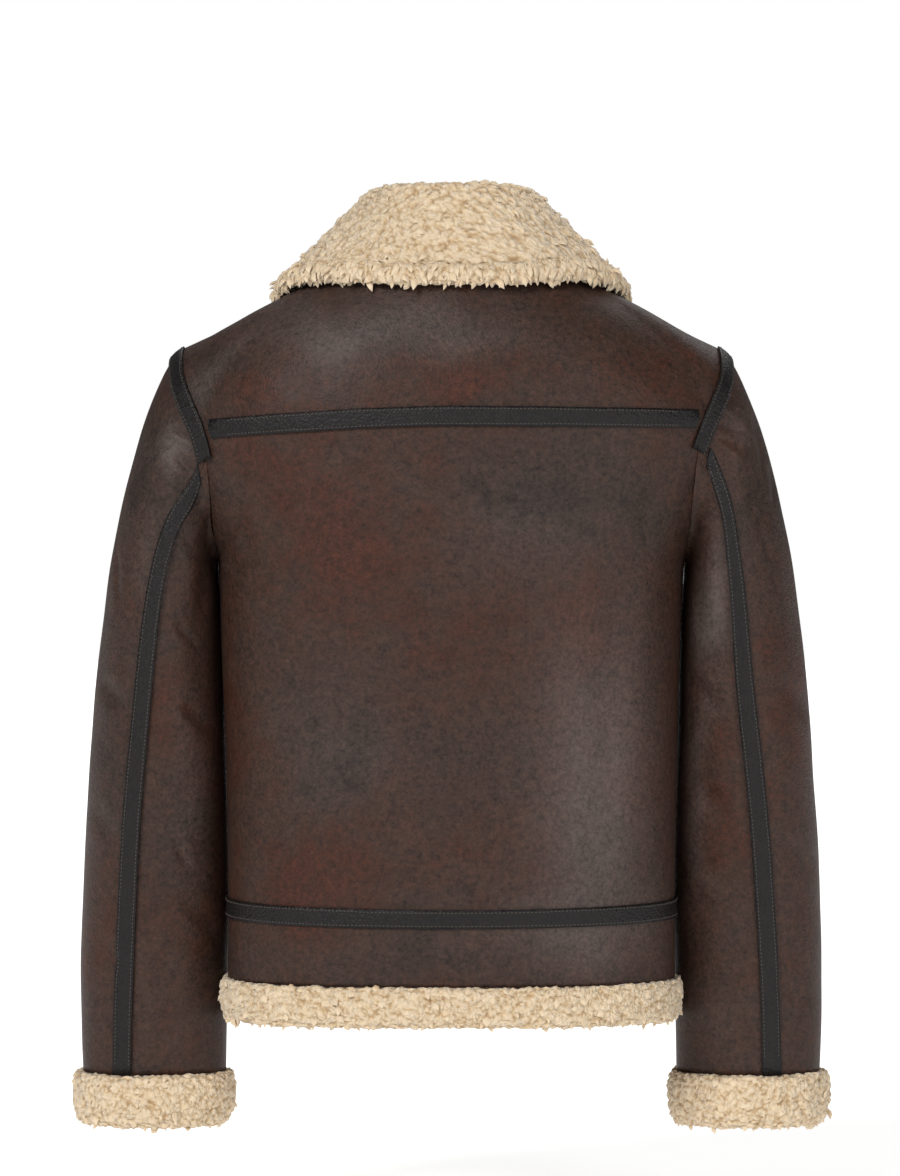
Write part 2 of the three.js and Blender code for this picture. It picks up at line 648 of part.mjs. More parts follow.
// The cuffs are the sleeves' wool turned back
const cuffRows = [
  { row: 13.006, outer: 6, inner: -5 },
  { row: 13.1, outer: 9.2, inner: -6.5 },
  { row: 13.45, outer: 10, inner: -7 },
  { row: 13.75, outer: 8.6, inner: -6.5 },
  { row: 13.93, outer: 5, inner: -4 },
  { row: 14, outer: 1, inner: -1.5 },
];

function addCuff(side) {
  const at = (degrees, row, lift) => sleeveAt(side, degrees, row, lift);
  const lifts = { outer: cuffRows.map((row) => row.outer), inner: cuffRows.map((row) => row.inner) };
  const start = ring[side](sleeveEnd);
  const round = steps(start, start + 360, 20);
  const rows = cuffRows.map((row) => row.row);
  piece(`cuff_${side}`, wall([net(at, round, rows, lifts)]), 'fleece');
}

function addCollar() {
  const turns = steps(-collarEnd, collarEnd, 34);
  const thick = { outer: collarThickness / 2, inner: -collarThickness / 2 };
  const paths = [
    0, 0.11, 0.23, standEnd, 0.3875, 0.425, 0.4625, fallStart, 0.58, 0.68, 0.8, edgeBandStart,
  ];
  piece('collar', wall([net(collarAt, turns, paths, thick, { top: half })]), 'fleece');
  const band = [
    { path: edgeBandStart, outer: 6.2, inner: -4 },
    { path: 0.925, outer: 7.8, inner: -4.8 },
    { path: 0.955, outer: 7.8, inner: -4.8 },
    { path: 0.985, outer: 5.2, inner: -4 },
    { path: 1, outer: 1, inner: -1.5 },
  ];
  const lifts = { outer: band.map((row) => row.outer), inner: band.map((row) => row.inner) };
  const rows = band.map((row) => row.path);
  piece('collar_edge', wall([net(collarAt, turns, rows, lifts, { bottom: 0.5 })]), 'fleece');
}

// How much of a parameter covers a length on the surface, from a point of it
function shareFor(surface, a, b, length, direction) {
  const step = 0.01 * direction;
  return (length * step) / surface(a, b + step).distanceTo(surface(a, b));
}

// A tape lies on the yoke seam, half below it and half above
function addYokeTape() {
  const at = (across, up, lift) => {
    const side = across < 0 ? 'left' : 'right';
    const s = Math.abs(across);
    const below = (a, b) => bodyPoint(side, 'back', a, b);
    const above = (a, b) => shoulderPoint(side, a, b);
    if (up <= 0) return bodyAt(side, 'back', s, 2 + shareFor(below, s, 2, -up, -1), lift);
    return shoulderAt(side, s, shareFor(above, s, 0, up, 1), lift);
  };
  const rows = [-tapeWidth / 2, 0, tapeWidth / 2];
  const columns = backColumns.slice(1, -1);
  piece('yoke_tape', wall([net(at, columns, rows, tapeWall)]), 'tape');
}

// A tape round the waist seam, in a piece for the back and one for each front
function addWaistTape() {
  const rise = tapeWidth / 2 / (underarmHeight - hemHeight);
  const rows = [waistUp - rise, waistUp, waistUp + rise];
  const seams = { start: half, end: half };
  piece('waist_tape_back', wall([net(backAt, backColumns, rows, tapeWall, seams)]), 'tape');
  for (const side of sides) {
    const front = (across, up, lift) => bodyAt(side, 'front', across, up, lift);
    const frontNet = net(front, frontColumns, rows, tapeWall, { start: half });
    piece(`waist_tape_${side}`, wall([frontNet]), 'tape');
  }
}

// A point of the body's skin beside the armhole seam, straight in from it
function bodyBesideArmhole(side, degrees, width, lift) {
  const yoke = yokeAngle(side);
  const seam = armholePoint(side, degrees);
  let direction;
  if (Math.abs(degrees) <= yoke) {
    const surface = (a, b) => shoulderPoint(side, a, b);
    direction = outward(surface, 2 - degrees / yoke, 0.01, bodyHeart);
  } else {
    const face = degrees > 0 ? 'back' : 'front';
    const up = 1 + (180 - Math.abs(degrees)) / (180 - yoke);
    direction = outward((a, b) => bodyPoint(side, face, a, b), 1, up, bodyHeart);
  }
  const along = armholePoint(side, degrees + 1).sub(armholePoint(side, degrees - 1));
  const inward = along.cross(direction).normalize();
  if (inward.x * sideSign[side] > 0) inward.negate();
  if (width === 0) return seam.addScaledVector(armholeMitre(side, degrees), lift);
  return seam.addScaledVector(inward, width).addScaledVector(direction, lift + tapeEase);
}

// The armhole tape goes over the shoulder from below the yoke seam behind to the same place in
// front, half on the body and half on the sleeve
function addArmholeTape(side) {
  const at = (degrees, width, lift) => {
    if (width > 0) {
      const surface = (a, b) => sleevePoint(side, a, b);
      return sleeveAt(side, degrees, shareFor(surface, degrees, 0, width, 1), lift);
    }
    return bodyBesideArmhole(side, degrees, -width, lift);
  };
  const widths = [-tapeWidth / 2, 0, tapeWidth / 2];
  const end = lerp(180, yokeAngle(side), backSeamUp);
  const lifts = { outer: tapeWall.outer + 0.5, inner: tapeWall.inner + 0.4 };  // over two edges
  const between = armholeAngles(side).filter((angle) => Math.abs(angle) < end - 2);
  const columns = [end, ...between, -end];
  piece(`armhole_tape_${side}`, wall([net(at, columns, widths, lifts)]), 'tape');
}

const sleeveTapeTop = { left: 0.62, right: 0.72 };  // the row at which it leaves the armhole

function addSleeveTape(side) {
  const at = (width, row, lift) => {
    const seam = ring[side](row);
    const surface = (a, b) => sleevePoint(side, b * 50, a);
    const turn = 50 * shareFor(surface, row, seam / 50, Math.abs(width), Math.sign(width) || 1);
    return sleeveAt(side, seam + turn, row, lift);
  };
  const widths = [-tapeWidth / 2, 0, tapeWidth / 2];
  const rows = [sleeveTapeTop[side], 0.8, 1.2, ...sleeveRows.slice(3)];
  piece(`sleeve_tape_${side}`, wall([net(at, widths, rows, tapeWall)]), 'tape');
}

// The middle of the front from the hem, 0, over the level of the yoke, 2, to the neck, 3
function zipLine(up) {
  const point = up < 2 ? bodyPoint('right', 'front', 0, up) : shoulderPoint('right', 4, up - 2);
  point.x = 0;
  return point;
}

function zipFrame(up) {
  const along = zipLine(up + 0.01).sub(zipLine(up - 0.01)).normalize();
  const out = new THREE.Vector3(0, along.z, -along.y);
  return { origin: zipLine(up), along, out };
}

const zipTapeWall = { outer: -0.4, inner: -2.2 };
const chainWall = { outer: 0.6, inner: -2.6 };
const zipTop = 2.84;
const zipRows = [...steps(0, 1, 5), 1.25, 1.5, 1.75, 2, 2.2, 2.4, 2.6, 2.72, 2.78, zipTop];

function addZip() {
  const at = (x, up, lift) => {
    const { origin, out } = zipFrame(up);
    return origin.addScaledVector(out, lift).setX(x);
  };
  for (const side of sides) {
    const sign = sideSign[side];
    const across = [sign * (frontEdge - seamGap), sign * zipTapeInner];
    piece(`zip_tape_${side}`, wall([net(at, across, zipRows, zipTapeWall)]), 'zipCloth');
  }
  piece('zip_chain', wall([net(at, [-chainHalf, chainHalf], zipRows, chainWall)]), 'metal');
}

// The zip's slider and pull in their own frame: x across, y out of the front and z up the zip,
// from the top end of the chain
const slider = {
  halfWidth: 4.5, bridgeHalf: 2.9, front: 1.6, back: -3, plate: 2, top: 3, bottom: -9.5, gap: 0.4,
};
const bail = { z: -3, inner: 3.6, outer: 5, halfWidth: 1.1 };
const pull = {
  pinRadius: 0.9, pinOut: 1.9, eyeHalf: 3.3, slotHalf: 1.65, slot: 5.9, web: 2, shoulder: 3,
  length: 30, halfWidth: 4, thickness: 1.6,
};
const pinPlace = { y: slider.front + slider.plate + pull.pinOut, z: bail.z };

// A shape drawn in y and z, made as wide as asked and centred on x
function acrossX(shape, halfWide) {
  const extrusion = { depth: 2 * halfWide, bevelEnabled: false, curveSegments: 8 };
  const geometry = new THREE.ExtrudeGeometry(shape, extrusion);
  geometry.translate(0, 0, -halfWide);
  const toPlace = new THREE.Matrix4().makeBasis(
    new THREE.Vector3(0, 1, 0), new THREE.Vector3(0, 0, 1), new THREE.Vector3(1, 0, 0),
  );
  return geometry.applyMatrix4(toPlace);
}

function rectangle(y0, z0, y1, z1) {
  const shape = new THREE.Shape();
  shape.moveTo(y0, z0);
  shape.lineTo(y1, z0);
  shape.lineTo(y1, z1);
  shape.lineTo(y0, z1);
  return shape;
}

const wasm = await Module();
wasm.setup();

function toSolid(geometry) {
  const bare = geometry.clone();
  bare.deleteAttribute('normal');
  bare.deleteAttribute('uv');
  const merged = mergeVertices(bare, 1e-4);
  return new wasm.Manifold(new wasm.Mesh({
    numProp: 3,
    vertProperties: new Float32Array(merged.attributes.position.array),
    triVerts: new Uint32Array(merged.index.array),
  }));
}

function toGeometry(solid) {
  const mesh = solid.getMesh();
  const geometry = new THREE.BufferGeometry();
  geometry.setAttribute('position', new THREE.BufferAttribute(new Float32Array(mesh.vertProperties), 3));
  geometry.setIndex(new THREE.BufferAttribute(new Uint32Array(mesh.triVerts), 1));
  return geometry;
}

function sliderGeometry() {
  const { front, back, plate, top, bottom, gap, halfWidth: wide, bridgeHalf } = slider;
  const sink = 0.2;
  const frontPlate = toSolid(acrossX(rectangle(front, bottom, front + plate, top), wide));
  const backPlate = toSolid(acrossX(rectangle(back - plate, bottom, back, top), wide));
  const bridge = toSolid(acrossX(rectangle(back - sink, gap, front + sink, top), bridgeHalf));
  const arch = new THREE.Shape();
  const foot = front + plate;
  arch.absarc(foot - sink, bail.z, bail.outer, -Math.PI / 2, Math.PI / 2, false);
  arch.absarc(foot - sink, bail.z, bail.inner, Math.PI / 2, -Math.PI / 2, true);
  const loop = toSolid(acrossX(arch, bail.halfWidth));
  return toGeometry(frontPlate.add(backPlate).add(bridge).add(loop));
}

// The pull is a flat tab with an eye, hung on its upper bar
function pullGeometry() {
  const { eyeHalf, slotHalf, slot, web, shoulder, length, thickness, pinRadius } = pull;
  const wide = pull.halfWidth;
  const tab = new THREE.Shape();
  tab.moveTo(-eyeHalf, pinRadius);
  tab.lineTo(-eyeHalf, -slot - web);
  tab.lineTo(-wide, -slot - web - shoulder);
  tab.lineTo(-wide, -length + wide);
  tab.absarc(0, -length + wide, wide, Math.PI, 2 * Math.PI, false);
  tab.lineTo(wide, -slot - web - shoulder);
  tab.lineTo(eyeHalf, -slot - web);
  tab.lineTo(eyeHalf, pinRadius);
  const eye = new THREE.Path();
  eye.moveTo(-slotHalf, -pinRadius);
  eye.lineTo(slotHalf, -pinRadius);
  eye.lineTo(slotHalf, -slot);
  eye.lineTo(-slotHalf, -slot);
  tab.holes.push(eye);
  const extrusion = { depth: thickness, bevelEnabled: false, curveSegments: 8 };
  const geometry = new THREE.ExtrudeGeometry(tab, extrusion);
  geometry.translate(0, 0, -thickness / 2);
  geometry.rotateX(Math.PI / 2);
  return geometry;
}

function addSlider() {
  const { origin } = zipFrame(zipTop);
  const { along, out } = zipFrame(zipTop - 0.06);
  const turn = Math.atan2(-along.y, along.z);
  const place = (mesh, y, z) => {
    mesh.rotation.x = turn;
    mesh.position.copy(origin).addScaledVector(out, y).addScaledVector(along, z);
  };
  place(piece('zip_slider', sliderGeometry(), 'metal'), 0, 0);
  place(piece('zip_pull', pullGeometry(), 'metal'), pinPlace.y, pinPlace.z);
}

addYoke();
addBack();
sides.forEach(addFront);
addHemWool();
sides.forEach(addSleeve);
sides.forEach(addCuff);
addCollar();
addYokeTape();
addWaistTape();
sides.forEach(addArmholeTape);
sides.forEach(addSleeveTape);
addZip();
addSlider();

export default jacket;
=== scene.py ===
# Looks for a sheepskin aviator jacket: mottled leather, black seam tapes, curly wool and a zip.
# Metres. x runs to the wearer's right, y to the wearer's front and z up.
import math
import random

import bmesh
import bpy
import numpy as np
from mathutils import Matrix, Vector, noise
from mathutils.bvhtree import BVHTree


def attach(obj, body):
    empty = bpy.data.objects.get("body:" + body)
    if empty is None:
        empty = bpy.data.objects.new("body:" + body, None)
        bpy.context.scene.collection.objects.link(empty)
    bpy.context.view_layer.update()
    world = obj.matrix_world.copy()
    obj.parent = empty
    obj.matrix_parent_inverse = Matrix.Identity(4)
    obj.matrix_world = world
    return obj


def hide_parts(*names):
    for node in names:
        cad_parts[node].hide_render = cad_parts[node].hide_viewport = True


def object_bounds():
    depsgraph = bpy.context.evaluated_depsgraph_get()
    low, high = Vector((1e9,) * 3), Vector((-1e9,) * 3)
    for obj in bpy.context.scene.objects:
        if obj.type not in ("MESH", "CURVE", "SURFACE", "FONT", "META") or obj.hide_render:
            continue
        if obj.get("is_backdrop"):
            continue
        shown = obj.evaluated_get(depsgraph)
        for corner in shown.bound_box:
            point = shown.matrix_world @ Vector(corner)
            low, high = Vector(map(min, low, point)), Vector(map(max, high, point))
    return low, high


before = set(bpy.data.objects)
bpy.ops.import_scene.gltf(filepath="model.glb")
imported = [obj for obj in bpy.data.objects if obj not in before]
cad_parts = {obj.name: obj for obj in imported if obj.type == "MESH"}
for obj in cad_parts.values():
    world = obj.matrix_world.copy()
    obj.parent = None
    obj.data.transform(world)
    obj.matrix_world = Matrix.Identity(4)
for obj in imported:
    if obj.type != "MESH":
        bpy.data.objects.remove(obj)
cad_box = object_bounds()

MM = 0.001
SIDES = ("left", "right")

# The drift of patches and wool comes from noise_vector, whose offsets follow this seed
PATTERN_SEED = 7
noise.seed_set(PATTERN_SEED)

# The camera stands straight behind the jacket, where the photograph was taken from
CAMERA_PLACE = (-1.2 * MM, -4.0, -0.25)
CAMERA_LENS = 140.7
SENSOR = 36

TAPE_WIDTH = 17 * MM
MERGE = 0.002 * MM
CUT_EDGE_ANGLE = math.radians(50)
FLAT_ENOUGH = math.radians(40)
SQUARE_ENOUGH = math.radians(75)


def add_camera():
    camera = bpy.data.cameras.new("behind_the_jacket")
    camera.lens = CAMERA_LENS
    camera.sensor_width = SENSOR
    place = bpy.data.objects.new("behind_the_jacket", camera)
    place.location = CAMERA_PLACE
    place.rotation_euler = (math.pi / 2, 0, 0)
    bpy.context.scene.collection.objects.link(place)
    bpy.context.scene.camera = place


add_camera()


# Finishes

# The grey that the leather's colour is mixed towards where a sheen is painted in, a painted highlight
PAINTED_SHEEN_GREY = (0.062, 0.050, 0.046, 1)


class Finish:
    """A material with one shader, and the few nodes that its pattern is made of."""

    def __init__(self, name, **settings):
        self.material = bpy.data.materials.new(name)
        self.material.use_nodes = True
        self.tree = self.material.node_tree
        self.shader = self.tree.nodes["Principled BSDF"]
        for socket, value in settings.items():
            self.shader.inputs[socket.replace("_", " ")].default_value = value
        self.places = self.tree.nodes.new("ShaderNodeTexCoord").outputs["Object"]

    def node(self, kind, **settings):
        node = self.tree.nodes.new(kind)
        for name, value in settings.items():
            setattr(node, name, value)
        return node

    def join(self, source, target):
        self.tree.links.new(source, target)

    def noise(self, size, detail=4.0, roughness=0.55, stretch=None):
        """Soft noise with lumps of about that size."""
        texture = self.node("ShaderNodeTexNoise")
        texture.inputs["Scale"].default_value = 1 / size
        texture.inputs["Detail"].default_value = detail
        texture.inputs["Roughness"].default_value = roughness
        self.join(self.stretched(stretch), texture.inputs["Vector"])
        return texture.outputs["Fac"]

    def pebbles(self, size, stretch=None):
        """Rounded cells of about that size, high in their middles."""
        texture = self.node("ShaderNodeTexVoronoi", feature="SMOOTH_F1")
        texture.inputs["Scale"].default_value = 1 / size
        texture.inputs["Smoothness"].default_value = 0.35
        self.join(self.stretched(stretch), texture.inputs["Vector"])
        return self.sum(1.0, (texture.outputs["Distance"], -1.0))

    def stretched(self, stretch):
        if stretch is None:
            return self.places
        mapping = self.node("ShaderNodeMapping")
        mapping.inputs["Scale"].default_value = stretch
        self.join(self.places, mapping.inputs["Vector"])
        return mapping.outputs["Vector"]

    def painted(self, name):
        """A value that the mesh holds at its points."""
        return self.node("ShaderNodeAttribute", attribute_name=name).outputs["Fac"]

    def curls(self, name, fineness):
        """Small round curls of wandering shape, laid out by places that the mesh holds."""
        places = self.node("ShaderNodeAttribute", attribute_name=name).outputs["Vector"]
        wander = self.node("ShaderNodeTexNoise")
        wander.inputs["Scale"].default_value = fineness * 0.8
        wander.inputs["Detail"].default_value = 2.0
        self.join(places, wander.inputs["Vector"])
        moved = self.node("ShaderNodeVectorMath", operation="MULTIPLY_ADD")
        moved.inputs[1].default_value = (0.9 / fineness,) * 3
        self.join(wander.outputs["Color"], moved.inputs[0])
        self.join(places, moved.inputs[2])
        cells = self.node("ShaderNodeTexVoronoi", feature="F1")
        cells.inputs["Scale"].default_value = fineness
        self.join(moved.outputs[0], cells.inputs["Vector"])
        return self.spread(cells.outputs["Distance"], 0.78, 0.12, 0.0, 1.0)

    def sum(self, start, *terms):
        """The start and each value times its weight, added up."""
        total = None
        for value, weight in terms:
            step = self.node("ShaderNodeMath", operation="MULTIPLY_ADD")
            self.join(value, step.inputs[0])
            step.inputs[1].default_value = weight
            if total is None:
                step.inputs[2].default_value = start
            else:
                self.join(total, step.inputs[2])
            total = step.outputs[0]
        return total

    def ramp(self, value, stops):
        ramp = self.node("ShaderNodeValToRGB").color_ramp
        while len(ramp.elements) < len(stops):
            ramp.elements.new(1.0)
        for element, (place, color) in zip(ramp.elements, stops):
            element.position = place
            element.color = (*color, 1)
        node = self.tree.nodes[-1]
        self.join(value, node.inputs["Fac"])
        return node.outputs["Color"]

    def color(self, value, stops, dimmed=None, painted_sheen=None):
        """The base colour by a value, greyed where a sheen is painted in, and dimmed or brightened by a
        third.
        """
        color = self.ramp(value, stops)
        if painted_sheen is not None:
            greyed = self.node("ShaderNodeMix", data_type="RGBA")
            self.join(painted_sheen, greyed.inputs["Factor"])
            self.join(color, greyed.inputs[6])
            greyed.inputs[7].default_value = PAINTED_SHEEN_GREY
            color = greyed.outputs[2]
        if dimmed is not None:
            scaled = self.node("ShaderNodeVectorMath", operation="SCALE")
            self.join(color, scaled.inputs[0])
            self.join(dimmed, scaled.inputs["Scale"])
            color = scaled.outputs[0]
        self.join(color, self.shader.inputs["Base Color"])

    def spread(self, value, start, end, low, high):
        """The value from start to end, spread over low to high."""
        spread = self.node("ShaderNodeMapRange")
        for socket, number in zip(("From Min", "From Max", "To Min", "To Max"), (start, end, low, high)):
            spread.inputs[socket].default_value = number
        self.join(value, spread.inputs["Value"])
        return spread.outputs["Result"]

    def roughness(self, value, low, high):
        self.join(self.spread(value, 0, 1, low, high), self.shader.inputs["Roughness"])

    def relief(self, *layers):
        """Bumps, each a height pattern with its depth in metres."""
        normal = None
        for value, depth in layers:
            bump = self.node("ShaderNodeBump")
            bump.inputs["Distance"].default_value = depth
            bump.inputs["Strength"].default_value = 1.0
            self.join(value, bump.inputs["Height"])
            if normal is not None:
                self.join(normal, bump.inputs["Normal"])
            normal = bump.outputs["Normal"]
        self.join(normal, self.shader.inputs["Normal"])


def brown_leather():
    finish = Finish("brown_leather", Specular_IOR_Level=0.20)
    mottle = finish.noise(0.026, detail=7.0, roughness=0.68)
    speckle = finish.noise(0.0046, detail=4.0, roughness=0.8)
    tone = finish.sum(-0.56, (finish.painted("patina"), 0.74), (mottle, 1.0), (speckle, 0.44))
    # The grain also brightens the colour where the sheen is painted in
    grain = finish.sum(-0.1, (speckle, 1.0), (finish.pebbles(0.0026), 0.22),
                       (finish.noise(0.011, detail=5.0), 0.3), (finish.painted("painted_sheen"), 0.16))
    finish.color(tone, [
        (0.0, (0.0160, 0.0092, 0.0070)),
        (0.28, (0.0290, 0.0162, 0.0120)),
        (0.50, (0.0330, 0.0154, 0.0104)),
        (0.74, (0.0350, 0.0116, 0.0062)),
        (1.0, (0.0430, 0.0130, 0.0064)),
    ], dimmed=finish.spread(grain, 0.42, 0.92, 0.45, 1.75), painted_sheen=finish.painted("painted_sheen"))
    finish.roughness(finish.noise(0.007, detail=6.0, roughness=0.7), 0.42, 0.62)
    finish.relief((finish.noise(0.0042, detail=4.0, roughness=0.65), 0.00035),
                  (finish.pebbles(0.0022), 0.00025))
    return finish.material


def clipped_wool():
    finish = Finish("clipped_wool", Roughness=0.95, Specular_IOR_Level=0.1)
    lumps = finish.noise(0.006, detail=5.0, roughness=0.7)
    finish.color(lumps, [(0.25, (0.36, 0.24, 0.12)), (0.75, (0.66, 0.50, 0.30))])
    finish.relief((finish.pebbles(0.005), 0.003), (lumps, 0.002))
    return finish.material


def black_tape():
    finish = Finish("black_tape", Specular_IOR_Level=0.22)
    # Lighter and rougher on the tops of the same pebbles that the relief raises
    pebble_tops = finish.sum(-0.15, (finish.noise(0.009, detail=4.0), 0.7), (finish.pebbles(0.0024), 0.5))
    finish.color(pebble_tops, [(0.25, (0.0042, 0.0034, 0.0033)), (0.75, (0.0090, 0.0072, 0.0069))])
    finish.roughness(pebble_tops, 0.40, 0.56)
    finish.relief((finish.pebbles(0.0024), 0.0006), (finish.noise(0.0009), 0.0002))
    return finish.material


def thread():
    return Finish("dark_thread", Base_Color=(0.045, 0.034, 0.028, 1), Roughness=0.75).material


# Cream wool from the crevices to the tops; the dark low stops are painted shade in the crevices and at the
# curls' roots
WOOL_TONES_WITH_CREVICE_SHADE = [
    (0.02, (0.300, 0.190, 0.096)),
    (0.24, (0.470, 0.335, 0.196)),
    (0.46, (0.590, 0.462, 0.312)),
    (0.88, (0.650, 0.532, 0.388)),
]


def cream_wool(name, deep_pile):
    """The wool of a pile, with small curls drawn on it, or of the curls that stand on it, darker in the
    crevices and at the roots as painted shade.
    """
    finish = Finish(name, Roughness=0.9, Specular_IOR_Level=0.1, Sheen_Weight=0.25,
                    Sheen_Roughness=0.5, Subsurface_Weight=0.12, Subsurface_Scale=0.003,
                    Subsurface_Radius=(1.0, 0.7, 0.4))
    strands = finish.noise(0.0026, detail=3.0, roughness=0.6, stretch=(1.0, 1.0, 0.6))
    height, shade = finish.painted("tip"), finish.painted("shade")
    if deep_pile:
        small = finish.curls("pile", 1.9)
        # The colour follows the height of the nubs and of the small curls, so that their crevices are
        # darker: painted shade
        tone = finish.sum(-0.10, (height, 0.46), (small, 0.42), (shade, 0.14), (strands, 0.14))
        finish.relief((small, 0.0016), (strands, 0.0006))
    else:
        # The colour follows how far up its curl a point is, so that the root is darker: painted shade
        tone = finish.sum(-0.02, (height, 0.58), (shade, 0.16), (strands, 0.26))
        finish.relief((strands, 0.0009), (finish.noise(0.0009, detail=3.0), 0.0003))
    finish.color(tone, WOOL_TONES_WITH_CREVICE_SHADE)
    return finish.material


def zip_cloth():
    finish = Finish("zip_cloth", Base_Color=(0.010, 0.0095, 0.009, 1), Roughness=0.85)
    finish.relief((finish.pebbles(0.0008), 0.0003))
    return finish.material


def aged_brass():
    finish = Finish("aged_brass", Metallic=1.0, Roughness=0.34)
    finish.color(finish.noise(0.004), [(0.3, (0.16, 0.115, 0.06)), (0.7, (0.36, 0.27, 0.15))])
    return finish.material


LEATHER = brown_leather()
LINING_WOOL = clipped_wool()
TAPE = black_tape()
THREAD = thread()
WOOL = cream_wool("cream_wool", deep_pile=False)
PILE = cream_wool("cream_pile", deep_pile=True)
ZIP_CLOTH = zip_cloth()
BRASS = aged_brass()


# The middle of the body and of each sleeve, from which their skins look outwards

BODY_MIDDLE_Y = 5 * MM
CHEST = -160 * MM
SLEEVE_FOOT = -0.66
SLEEVE_HEAD = -0.12
SLEEVE_LEVELS = 28
SLEEVE_SLICE = 0.03


def body_heart(place):
    return Vector((0, BODY_MIDDLE_Y, min(place.z, CHEST)))


def sleeve_heart(side):
    """The middle of a sleeve by height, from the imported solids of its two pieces."""
    points = []
    for node in (f"sleeve_outer_{side}", f"sleeve_under_{side}"):
        points += [v.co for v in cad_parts[node].data.vertices]
    cloud = np.array(points)
    levels = np.linspace(SLEEVE_FOOT, SLEEVE_HEAD, SLEEVE_LEVELS)
    middles = []
    for level in levels:
        near = cloud[np.abs(cloud[:, 2] - level) < SLEEVE_SLICE]
        middles.append((near.min(axis=0) + near.max(axis=0)) / 2)
    middles = np.array(middles)

    def heart(place):
        level = min(max(place.z, levels[0]), levels[-1])
        x, y = (float(np.interp(level, levels, middles[:, axis])) for axis in (0, 1))
        return Vector((x, y, min(place.z, levels[-1])))

    return heart


hearts = {"body": body_heart, "left": sleeve_heart("left"), "right": sleeve_heart("right")}


# Folds and creases, seen from behind or before: from one end to the other in x and z, with the
# width and depth of the trough in millimetres. A depth below 0 is a ridge.
FOLDS = {
    "body": [
        ("behind", (-198, -147), (-172, -150), 3.5, 1.3),
        ("behind", (-165, -282), (-118, -318), 9, 1.5),
        ("behind", (-176, -330), (-150, -372), 11, -1.3),
        ("behind", (168, -236), (150, -420), 13, -1.6),
        ("behind", (141, -250), (128, -470), 15, 1.4),
        ("behind", (104, -532), (98, -586), 9, 1.2),
        ("behind", (186, -158), (160, -196), 8, 1.6),
        ("behind", (-186, -176), (-168, -236), 8, 1.5),
        ("behind", (-60, -440), (-20, -505), 22, 1.1),
        ("behind", (52, -350), (74, -500), 24, -1.0),
        ("behind", (-118, -548), (-92, -580), 12, 1.0),
        ("behind", (-150, -40), (-118, -84), 14, 1.0),
        ("behind", (158, -52), (120, -92), 15, 1.0),
        ("before", (-182, -170), (-130, -232), 10, 2.0),
        ("before", (180, -166), (138, -226), 9, 1.8),
        ("before", (-166, -230), (-146, -392), 15, -1.7),
        ("before", (160, -246), (142, -420), 16, 1.7),
        ("before", (-120, -350), (-86, -470), 20, 1.3),
        ("before", (96, -330), (70, -500), 22, -1.4),
        ("before", (-60, -120), (-36, -250), 18, 1.1),
        ("before", (120, -80), (92, -150), 16, 1.2),
        ("before", (-130, -70), (-96, -140), 17, -1.1),
        ("before", (60, -540), (74, -584), 10, 1.2),
        ("before", (-96, -538), (-110, -582), 11, 1.1),
    ],
    "left": [
        ("behind", (-204, -176), (-214, -262), 6, 3.4),
        ("behind", (-240, -112), (-226, -122), 4, 2.0),
        ("behind", (-236, -136), (-222, -150), 4.5, 1.5),
        ("behind", (-246, -196), (-222, -238), 9, -1.8),
        ("behind", (-236, -280), (-219, -300), 4, 1.5),
        ("behind", (-230, -352), (-206, -376), 6, 2.6),
        ("behind", (-238, -398), (-206, -392), 9, -1.6),
        ("behind", (-240, -470), (-226, -490), 4.5, 1.5),
        ("behind", (-232, -520), (-206, -548), 8, 1.5),
        ("behind", (-289, -222), (-287, -262), 3.2, 1.0),
        ("behind", (-302, -330), (-284, -352), 8, 1.3),
        ("behind", (-312, -440), (-290, -470), 9, 1.5),
        ("behind", (-306, -560), (-284, -582), 8, 1.2),
        ("before", (-300, -330), (-214, -372), 10, 2.6),
        ("before", (-306, -378), (-226, -412), 12, -2.0),
        ("before", (-308, -430), (-232, -446), 9, 2.2),
        ("before", (-280, -150), (-236, -214), 12, 1.6),
        ("before", (-300, -540), (-230, -566), 9, 1.4),
    ],
    "right": [
        ("behind", (226, -92), (252, -104), 5.5, -1.8),
        ("behind", (230, -110), (254, -118), 4.5, 1.6),
        ("behind", (226, -126), (250, -138), 5.5, -1.6),
        ("behind", (211, -138), (222, -150), 3.4, 1.6),
        ("behind", (262, -104), (270, -150), 3.2, 1.1),
        ("behind", (276, -146), (280, -178), 3.2, 1.1),
        ("behind", (264, -190), (284, -262), 4, 1.3),
        ("behind", (208, -190), (214, -270), 7, 2.4),
        ("behind", (220, -240), (236, -300), 10, -1.8),
        ("behind", (206, -330), (232, -352), 8, 1.8),
        ("behind", (206, -420), (238, -446), 9, 1.6),
        ("behind", (206, -500), (236, -520), 9, -1.5),
        ("behind", (288, -330), (312, -360), 9, 1.4),
        ("behind", (292, -470), (316, -500), 10, 1.4),
        ("behind", (284, -590), (308, -612), 8, 1.1),
        ("before", (212, -346), (296, -320), 10, 2.4),
        ("before", (220, -392), (304, -366), 12, -2.0),
        ("before", (228, -432), (306, -420), 9, 2.0),
        ("before", (240, -200), (284, -146), 12, 1.5),
        ("before", (226, -552), (298, -530), 9, 1.3),
    ],
}
FOLD_STRENGTH = 2.1
FOLD_SWING = 2.2 * MM
SWING_RATE = 45
FOLD_RUN_OUT = 0.25         # how far past its ends a fold goes on, as a share of its length
FOLD_FULL = 0.62            # the share of its length over which it is at its full depth
FOLD_REACH = 5              # how far across it is felt, in its own widths
NARROW_FOLD = 8
NARROW_REACH = 2.4

